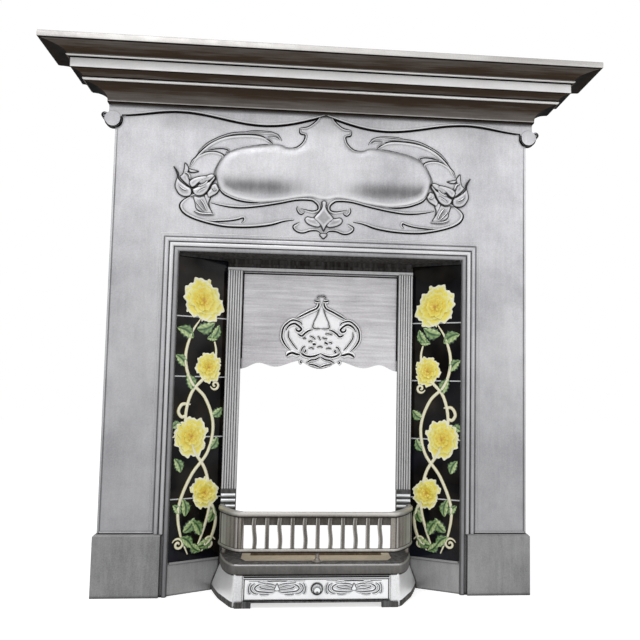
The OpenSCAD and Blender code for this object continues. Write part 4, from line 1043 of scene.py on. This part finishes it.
def front_rails():
    """Rounded rails along the top and the foot of the fire front, round its curved ends,
    with a painted highlight on their upper curve and painted shade below, weaker on the
    foot rail, and the lit edges of its bars, every other one of which waves as sin(2 pi u)."""
    t = np.linspace(-0.5, 0.5, 11) * math.pi
    parts = []
    for foot, top, proud, less_highlight in ((204.5, 217.6, 3.4, 0.0), (121.2, 130.4, 2.8, 0.4)):
        height = (foot + top) / 2 + (top - foot) / 2 * np.sin(t)
        face = np.stack([proud * np.sqrt(np.clip(np.cos(t), 0, 1)), height], -1)
        section = np.concatenate([face, [[-8.5, top], [-8.5, top - 1.2], [-0.6, foot]]])
        crown = np.interp(t, [-1.5, -0.9, -0.4, 0.05, 0.45, 1.5], [1.4, 1.0, 0.5, -0.4, -1.0, -0.8])
        tone = np.concatenate([crown, [-0.5, 0.6, 1.0]]) + less_highlight
        parts.append(swept(front_plan(), section[::-1], tone[::-1], plan=True))
    u = np.linspace(0, 1, 13)
    for k in range(1, 12):
        bend = BAR_WAVE * np.sin(2 * math.pi * u) if k % 2 else 0 * u
        line = np.stack([(k - 6) * BAR_PITCH + bend, BAR_FOOT + BAR_H * u], -1)
        parts.append(raised_line(line, FACE_Y - FRONT_OUT + 1, 9.6, 0.7, BAR_FACE, tips=(1, 1), per_span=3))
    make("front_rails", parts, RAIL_IRON, body="fire_front", slot="fire_iron", sharp=60)


def end_panels():
    """A sunk panel on each curved end of the fire front, with painted shade that is darkest
    beside the windows and streaks of painted reflection, between two upright beads with a
    painted highlight on one edge."""
    profile = np.array([[-0.6, 131.0], [1.0, 131.4], [1.0, 203.8], [-0.6, 204.2]])
    parts = []
    for start, end, proud, first, last in ((0.36, 1.16, 0.8, 0.55, -0.9), (0.24, 0.36, 2.4, -0.5, 0.5),
                                           (1.14, 1.26, 2.4, 0.2, -0.6)):
        t = np.linspace(end, start, 14)
        section = profile * np.array([proud, 1])
        points, faces, _ = swept(front_curve(t), section[::-1], plan=True)
        # streaks of painted reflection on the sunk panel
        streaks = 0.22 * np.sin(34 * t) if proud < 1 else 0 * t
        tone = np.repeat(np.linspace(last, first, len(t)) + streaks, len(section))
        parts += [(points, faces, tone), (points * np.array([-1, 1, 1]), faces, tone)]
    make("front_end_panels", parts, FIRE_IRON, body="fire_front", slot="fire_iron", sharp=50)


def grate_lip():
    """The low bead across the grate in front of its air slots: half an ellipse, dark as a painted shadow under the fire
    front's lower rail.
    """
    t = np.linspace(0, math.pi, 9)
    y, half_d, seat, up = FACE_Y + 4.5, 3.4, 99.6, 6.6
    crown = np.stack([y - half_d * np.cos(t), seat + up * np.sin(t)], -1)
    ring = np.concatenate([crown, [[y + half_d, seat - 1], [y - half_d, seat - 1]]])
    make("grate_lip", [rod((-LIP_HALF, LIP_HALF), ring, 0.9)], TAN_IRON, body="bottom_grate", slot="tan_iron", sharp=50)


def pit_band():
    """The band round the top of the ash pit, with a painted highlight along its upper edge and a black quirk of painted
    shade.
    """
    right = smooth_path([(239.5, 68), (238.5, 30), (232, -12), (225, -42), (216, -69), (207, -87), (198, -97),
                         (186, -100.3), (170, -100.3)], 5).tolist()
    path = [(x, FACE_Y + y) for x, y in right] + [(-x, FACE_Y + y) for x, y in right[::-1]]
    section = [(-3.0, 99.95), (-1.2, 99.9), (0.8, 99.0), (1.9, 97.2), (2.1, 95.0), (2.1, 79.0), (1.5, 76.9),
               (0.6, 76.2), (0.5, 74.4), (-1.0, 74.2)]
    tone = [-0.2, -0.35, -0.45, -0.2, 0.35, 0.5, 0.7, 1.2, 1.2, 1.2]
    part = swept(path, section[::-1], tone[::-1], plan=True)
    make("pit_band", [part], BAND_IRON, slot="bright_iron", sharp=50)


# ------------------------------------------------------------------ tiles


def splay(side):
    """Near corner, direction along the tiles and outward normal of one splay."""
    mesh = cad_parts[side + "_tile_1"].data
    points = np.zeros(len(mesh.vertices) * 3)
    mesh.vertices.foreach_get("co", points)
    points = points.reshape(-1, 3) / MM
    near = points[np.argmin(points[:, 1])][:2]
    toward = 1 if side == "left" else -1
    far = points[np.argmax(points[:, 0] * toward)][:2]
    along = (far - near) / np.linalg.norm(far - near)
    normal = np.array([along[1], -along[0]]) * toward
    return near, along, normal


def on_splay(part, side):
    """Turns a part drawn on an upright plate at y = 0 onto the tiles' faces."""
    near, along, normal = splay(side)
    points, faces, shade = part
    flat = near + along * points[:, :1] + normal * -points[:, 1:2]
    return np.stack([flat[:, 0], flat[:, 1], points[:, 2]], -1), faces, shade


def petal(centre, angle, length, width, cup, seed, lift, rim):
    """One fan-shaped petal, u out from the heart and v across it: half width
    width * (0.3 + 0.7 * u^0.8), reach length * sqrt(1 - 0.62 * v^2) with a frilled rim,
    standing lift + cup * u^1.5 and rolling down at both sides; rim pales its edge."""
    u = np.linspace(0.03, 1, 14)[:, None]
    v = np.linspace(-1, 1, 25)[None, :]
    frill = 0.07 * np.sin(7 * v + seed) + 0.045 * np.sin(15 * v + 2 * seed)
    reach = length * (np.sqrt(1 - 0.62 * v ** 2) + frill * u ** 2)
    x = width * (0.3 + 0.7 * u ** 0.8) * v
    z = u * reach
    up = lift + cup * u ** 1.5 + 0.7 * np.cos(6 * v + seed) * u - 1.2 * np.abs(v) ** 4
    c, s = math.cos(angle), math.sin(angle)
    front = np.stack([centre[0] + c * x - s * z, -np.maximum(up, 0.3), centre[1] + s * x + c * z], -1)
    fold = 0.13 * np.abs(np.sin(6 * v + seed)) * (1 - 0.5 * u)
    tone = 0.04 + (0.40 + 0.6 * rim) * u - fold + rim * np.clip((u - 0.78) / 0.22, 0, 1)
    tone = np.where((np.abs(v) > 0.93) & (u < 0.85), 0.20, tone)
    return slab(front, np.clip(tone, 0, 1) * np.ones_like(v), 0.2)


def slab(front, tone, back_y):
    """Closes a grid of points with a flat copy of itself behind and a rim round both."""
    back = front.copy()
    back[..., 1] = back_y
    rows, columns = front.shape[:2]
    count = rows * columns
    faces = grid_faces(rows, columns) + [[count + n for n in f[::-1]] for f in grid_faces(rows, columns)]
    rim = rim_of(rows, columns)
    faces += [[a, b, count + b, count + a] for a, b in zip(rim, rim[1:] + rim[:1])]
    return (np.concatenate([front.reshape(-1, 3), back.reshape(-1, 3)]), faces,
            np.concatenate([tone.ravel(), tone.ravel()]))


def blossom(centre, size, turn):
    """A full rose: four rings of broad frilled petals, the inner ones deeper in colour."""
    parts = []
    rings = ((1.0, 1.4, 5, 1.0, 0.44), (0.72, 2.4, 4, 1.9, 0.28), (0.46, 3.0, 4, 3.0, 0.14), (0.24, 2.0, 3, 4.6, 0.02))
    for ring, (share, cup, count, lift, rim) in enumerate(rings):
        for k in range(count):
            angle = turn + ring * 0.7 + k * 2 * math.pi / count + 0.18 * math.sin(3 * k + ring + 5 * turn)
            grow = 1 + 0.13 * math.sin(2.4 * k + ring * 2 + turn * 3)
            parts.append(petal(centre, angle, size * share * grow, size * share * 0.78, cup, k * 1.7 + ring + turn,
                               lift + 0.12 * k, rim))
    return parts


def leaf(root, angle, length, width):
    """A pointed leaf with a toothed edge: half width width * sin(pi * u^0.85)^0.9,
    creased along its mid rib, dark at its rim and along its veins, one half paler."""
    u = np.linspace(0.01, 0.99, 22)[:, None]
    v = np.linspace(-1, 1, 17)[None, :]
    half = width * np.sin(math.pi * u ** 0.85) ** 0.9 * (1 + 0.12 * np.sin(30 * u))
    x = half * v + 0.12 * length * np.sin(math.pi * u)
    z = u * length + 0 * v
    up = 1.0 + 1.6 * np.abs(v) * (1 - v ** 2) * 2 + 0.5 * (1 - v ** 2)
    c, s = math.cos(angle), math.sin(angle)
    front = np.stack([root[0] + c * x - s * z, -up * np.ones_like(z), root[1] + s * x + c * z], -1)
    side = np.abs(v)
    tone = 0.76 + 0.26 * np.sin(26 * u + 6 * side) * side - 0.66 * np.exp(-(side / 0.13) ** 2) - 0.26 * (v > 0)
    tone = np.where(side > 0.82, 0.0, tone)
    return slab(front, np.clip(tone, 0, 1) * np.ones_like(u), 0.2)


# The climbing rose of one splay, as distance along the tiles and height: stems; curls
# with radius, turns and start; blossoms with size and turn; leaves with angle, length
# and half width
STEMS = [
    [(76, 96), (98, 150), (114, 220), (100, 300), (62, 360), (40, 430), (54, 500), (96, 548), (118, 600), (108, 650)],
    [(58, 96), (36, 150), (30, 215), (60, 290), (104, 350), (116, 420), (92, 486), (50, 530), (34, 590), (48, 650),
     (72, 690)],
    [(96, 100), (122, 134), (132, 180), (116, 220), (90, 236)],
    [(52, 470), (30, 470), (20, 452), (30, 438), (44, 446)],
]
CURLS = [((116, 118), 18, 1.4, 0.4), ((32, 122), 16, -1.5, 2.8), ((118, 520), 13, 1.3, 3.4)]
BLOSSOMS = [((78, 738), 53, 0.3), ((98, 566), 36, 1.1), ((56, 388), 46, 2.0), ((98, 246), 37, 0.7)]
LEAVES = [((54, 640), 1.1, 52, 17), ((62, 662), -1.2, 54, 17), ((104, 640), -0.5, 42, 14), ((36, 566), 0.8, 42, 15),
          ((56, 506), 0.4, 46, 15), ((112, 440), -0.9, 36, 14), ((108, 356), -0.6, 38, 14), ((32, 300), 0.5, 40, 14),
          ((34, 196), 0.7, 32, 12), ((66, 120), -2.2, 34, 13), ((92, 140), 0.6, 48, 16), ((44, 150), -0.7, 46, 15),
          ((120, 640), 1.6, 30, 11), ((30, 420), 1.9, 30, 12), ((70, 112), 0.9, 44, 15), ((84, 112), -1.1, 46, 15),
          ((112, 170), -0.3, 44, 14), ((48, 190), 0.2, 46, 14)]


def tile_decoration(side):
    """Slip-trailed stems, leaves and blossoms on one column of tiles; the splay's own
    direction mirrors them between the sides."""
    stems = [raised_line(c, 0, 8.6, 2.6, STEM) for c in STEMS]
    stems += [raised_line(spiral(c, r, n, a), 0, 6.4, 2.2, STEM, per_span=2) for c, r, n, a in CURLS]
    flowers = [p for c, size, turn in BLOSSOMS for p in blossom(c, size, turn)]
    leaves = [leaf(*row) for row in LEAVES]
    for name, parts, material in (("stems", stems, STEM_SLIP), ("blossoms", flowers, PETAL_SLIP),
                                  ("leaves", leaves, LEAF_SLIP)):
        make(f"{side}_tile_{name}", [on_splay(p, side) for p in parts], material, slot="tile_glaze", sharp=60)


def tile_joints(side):
    """Pale pointing in the four joints between five tiles; it fills their eased edges to
    just behind the faces."""
    parts = []
    for n in range(1, 5):
        foot = high(f"{side}_tile_{n}")[2] - EASED_EDGE
        head = low(f"{side}_tile_{n + 1}")[2] + EASED_EDGE
        corners = [[x, y, z] for z in (foot, head) for y in (0.08, 8.0) for x in (JOINT_START, JOINT_END)]
        faces = [[0, 1, 3, 2], [4, 6, 7, 5], [0, 4, 5, 1], [2, 3, 7, 6], [0, 2, 6, 4], [1, 5, 7, 3]]
        parts.append(on_splay((np.array(corners, float), faces, np.zeros(8)), side))
    make(f"{side}_tile_joints", parts, GROUT, slot="tile_glaze", sharp=40)


# ------------------------------------------------------------------ dressing the frame


# Heights at which the blacklead and painted shade of a casting change
UNDERSIDES_FROM = 800
PIT_FEET_TOP = 14
PIT_BAND_FOOT = 76
WEB_FOOT = 186
WEB_TOP = 205
BLOCK_FOOT = 196
BLOCK_TOP = 252
HOOD_BAND_FOOT = 833
COVER_FEET_TOP = 17.2
COVER_BEAD_FOOT = 67
KICK_TOP = 82


def soffit_tone(centre, normal):
    """Black painted shade on the undersides above 0.8 m, which are the soffit and the
    valance's edge; the back, which faces the wall, was never burnished."""
    back = np.where(normal[:, 1] > 0.7, 0.62, 0.0)
    return np.where((normal[:, 2] < -0.3) & (centre[:, 2] > UNDERSIDES_FROM), 1.3, back)


def pit_tone(centre, normal):
    """The feet of the ash pit are dark and its top is dark with painted shade; its flared
    sides are polished and carry a painted highlight, brighter than the faces beside the cover."""
    flank = np.where(normal[:, 1] < -0.8, -0.1, -0.75)
    dark = (centre[:, 2] < PIT_FEET_TOP) | (normal[:, 2] > 0.5)
    return np.where(dark, 0.95, np.where(centre[:, 2] > PIT_BAND_FOOT, 0.6, flank))


def front_tone(centre, normal):
    """The fire front is blackest on the web above its windows and on its inside: the inside
    was sooted by the coals, and the web, set back between the rails, is painted shade. The
    bars' sides carry lighter painted shade."""
    web = (centre[:, 2] > WEB_FOOT) & (centre[:, 2] < WEB_TOP) & (np.abs(centre[:, 0]) < FRONT_FLAT)
    inside = normal[:, 1] > 0.5
    return np.where(web | inside, 0.7, np.where(np.abs(normal[:, 0]) > 0.7, 0.5, 0.1))


def insert_tone(centre, normal):
    """The soffit and all above the hood's first band are black with painted shade, and so
    are the base blocks between their bright ribs."""
    block = (centre[:, 2] > BLOCK_FOOT) & (centre[:, 2] < BLOCK_TOP) & (centre[:, 1] < INSERT_Y - 4)
    top = (centre[:, 2] > HOOD_BAND_FOOT) | ((normal[:, 1] < -0.5) & (centre[:, 1] > INSERT_Y - 0.5))
    return np.where(top, 0.97, np.where(block, 0.85, soffit_tone(centre, normal)))


def cover_tone(centre, normal):
    """The ash cover's feet are dark and so are the gaps at its ends; its undersides carry painted shade, and its top
    bead is grey.
    """
    ends = (np.abs(normal[:, 0]) > 0.7) | (normal[:, 2] < -0.5)
    face = np.where(centre[:, 2] > COVER_BEAD_FOOT, 0.25, -0.95)
    return np.where(centre[:, 2] < COVER_FEET_TOP, 0.93, np.where(ends, 0.9, face))


def knob_tone(centre, normal):
    """Dark rings round the knob's rose and neck, a painted highlight on its crown and a black crescent of painted
    shadow below.
    """
    r = np.hypot(centre[:, 0], centre[:, 2] - KNOB_Z)
    rose = np.where(r > 11.5, 1.0, np.where(r > 8.5, 0.35, 1.2))
    below = np.clip((KNOB_Z - centre[:, 2]) / 5, 0, 1)
    crown = np.where(r > 7.0, 0.7, -0.35) + below * np.where(r > 3, 1.3, 0.4)
    return np.where(centre[:, 1] > COVER_Y - 9, rose, crown)


def kick_tone(centre, normal):
    """The tile frames are polished below the tiles and black above and behind them."""
    return np.where((centre[:, 2] < KICK_TOP) & (normal[:, 1] < 0.1), 0.0, 0.93)


# Node, material, body, slot, width of its eased edges, and the tone of its faces
CASTINGS = [
    ("surround", BURNISHED, "root", "burnished_iron", 0.9, soffit_tone),
    ("left_plinth", PLINTH_IRON, "root", "burnished_iron", 1.0, None),
    ("right_plinth", PLINTH_IRON, "root", "burnished_iron", 1.0, None),
    ("insert_frame", COLUMN_IRON, "root", "burnished_iron", 0, insert_tone),
    ("hood", HOOD_IRON, "root", "burnished_iron", 0.7, None),
    ("ash_pit_front", PIT_IRON, "root", "bright_iron", 0, pit_tone),
    ("ash_cover", BRIGHT, "ash_cover", "bright_iron", 0.5, cover_tone),
    ("cover_knob", BRIGHT, "ash_cover", "bright_iron", 0, knob_tone),
    ("fire_front", FIRE_IRON, "fire_front", "fire_iron", 0.8, front_tone),
    ("bottom_grate", TAN_IRON, "bottom_grate", "tan_iron", 0.6, None),
    ("left_tile_frame", KICK_IRON, "root", "dark_iron", 0, kick_tone),
    ("right_tile_frame", KICK_IRON, "root", "dark_iron", 0, kick_tone),
]
ROUGH_NODES = ("throat_plate", "damper_flap")
STEEL_NODES = ("plinth_bolts", "shelf_bolts", "shelf_nuts", "tile_frame_bolts", "hood_bolts", "damper_pin",
               "pit_bolts", "pit_nuts", "knob_nut")


def dress():
    """Gives every casting its finish; hidden pieces keep their own solid."""
    for node, material, body, slot, bevel, tone in CASTINGS:
        dressed(node, node + "_casting", material, body, slot, bevel, tone)
    for side in ("left", "right"):
        for n in range(1, 6):
            dressed(f"{side}_tile_{n}", f"{side}_glazed_tile_{n}", GLAZE, "root", "tile_glaze", 1.2)
    for nodes, material in ((ROUGH_NODES, DARK_IRON), (STEEL_NODES, STEEL)):
        for node in nodes:
            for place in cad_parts[node].material_slots:
                place.material = material


# ------------------------------------------------------------------ stage


def floor():
    """A plain pale floor that looks white to the camera and in gloss, with the object's
    shadow still on it: its own light is added only for those rays."""
    mesh = bpy.data.meshes.new("floor")
    reach = 9.0
    corners = [(-reach, -reach, 0), (reach, -reach, 0), (reach, reach, 0), (-reach, reach, 0)]
    mesh.from_pydata(corners, [], [[0, 1, 2, 3]])
    n = Nodes("pale_floor")
    n.feed("Base Color", (0.80, 0.80, 0.80))
    n.feed("Roughness", 0.9)
    n.feed("Specular IOR Level", 0.0)
    n.feed("Emission Color", (1, 1, 1))
    n.feed("Emission Strength", seen_rays(n.tree, 0.0, 0.62))
    mesh.materials.append(n.material)
    ground = added("floor", mesh)


def lamp(name, place, target, size, power):
    """A soft square lamp at a place, turned to a target."""
    data = bpy.data.lights.new(name, "AREA")
    data.size = size
    data.energy = power
    light = added(name, data)
    light.location = place
    light.rotation_euler = (Vector(target) - Vector(place)).to_track_quat("-Z", "Y").to_euler()


def seen_rays(tree, otherwise, seen):
    """One strength for camera, glossy and transmission rays, and another for the rest."""
    path = tree.nodes.new("ShaderNodeLightPath")
    total = path.outputs["Is Camera Ray"]
    for kind in ("Is Glossy Ray", "Is Transmission Ray"):
        either = tree.nodes.new("ShaderNodeMath")
        either.operation = "MAXIMUM"
        tree.links.new(total, either.inputs[0])
        tree.links.new(path.outputs[kind], either.inputs[1])
        total = either.outputs[0]
    level = tree.nodes.new("ShaderNodeMapRange")
    level.inputs["To Min"].default_value = otherwise
    level.inputs["To Max"].default_value = seen
    tree.links.new(total, level.inputs["Value"])
    return level.outputs["Result"]


def studio():
    """White surroundings for the camera and for gloss, a weaker sky for light, two lamps."""
    world = bpy.data.worlds.new("studio")
    bpy.context.scene.world = world
    world.use_nodes = True
    sky = world.node_tree.nodes["Background"]
    sky.inputs["Color"].default_value = (1, 1, 1, 1)
    world.node_tree.links.new(seen_rays(world.node_tree, 0.55, 1.0), sky.inputs["Strength"])
    lamp("window", (-1.0, -2.3, 3.7), (0, 0, 0.8), 2.2, 50)
    lamp("fill", (2.2, -2.8, 1.6), (0, 0, 0.6), 2.4, 15)


def camera():
    """The photograph's view: a little left of the middle, low, and turned up by 5 degrees."""
    eye = (-0.0683, -2.0098 + FACE_Y * MM, 0.5199)
    yaw, pitch, roll = 0.096, 0.086, 0.017
    focal_px, shift_px, width_px, sensor = 784.5, 50, 640, 36.0
    ahead = Vector((math.sin(yaw) * math.cos(pitch), math.cos(yaw) * math.cos(pitch), math.sin(pitch)))
    level = Vector((math.cos(yaw), -math.sin(yaw), 0))
    upright = level.cross(ahead)
    right = math.cos(roll) * level + math.sin(roll) * upright
    up = -math.sin(roll) * level + math.cos(roll) * upright
    data = bpy.data.cameras.new("camera")
    data.sensor_width = sensor
    data.lens = focal_px / width_px * sensor
    data.shift_x = -shift_px / width_px
    view = added("camera", data)
    turn = Matrix((right, up, -ahead)).transposed().to_4x4()
    view.matrix_world = Matrix.Translation(eye) @ turn
    bpy.context.scene.camera = view
    bpy.context.scene.view_settings.view_transform = "Standard"


camera()
studio()
floor()
dress()
mantel_shelf()
border()
frieze()
valance_line()
ears()
hood_relief()
cover_relief()
base_ribs()
column_reeds()
front_rails()
end_panels()
grate_lip()
pit_band()
for splay_side in ("left", "right"):
    tile_decoration(splay_side)
    tile_joints(splay_side)
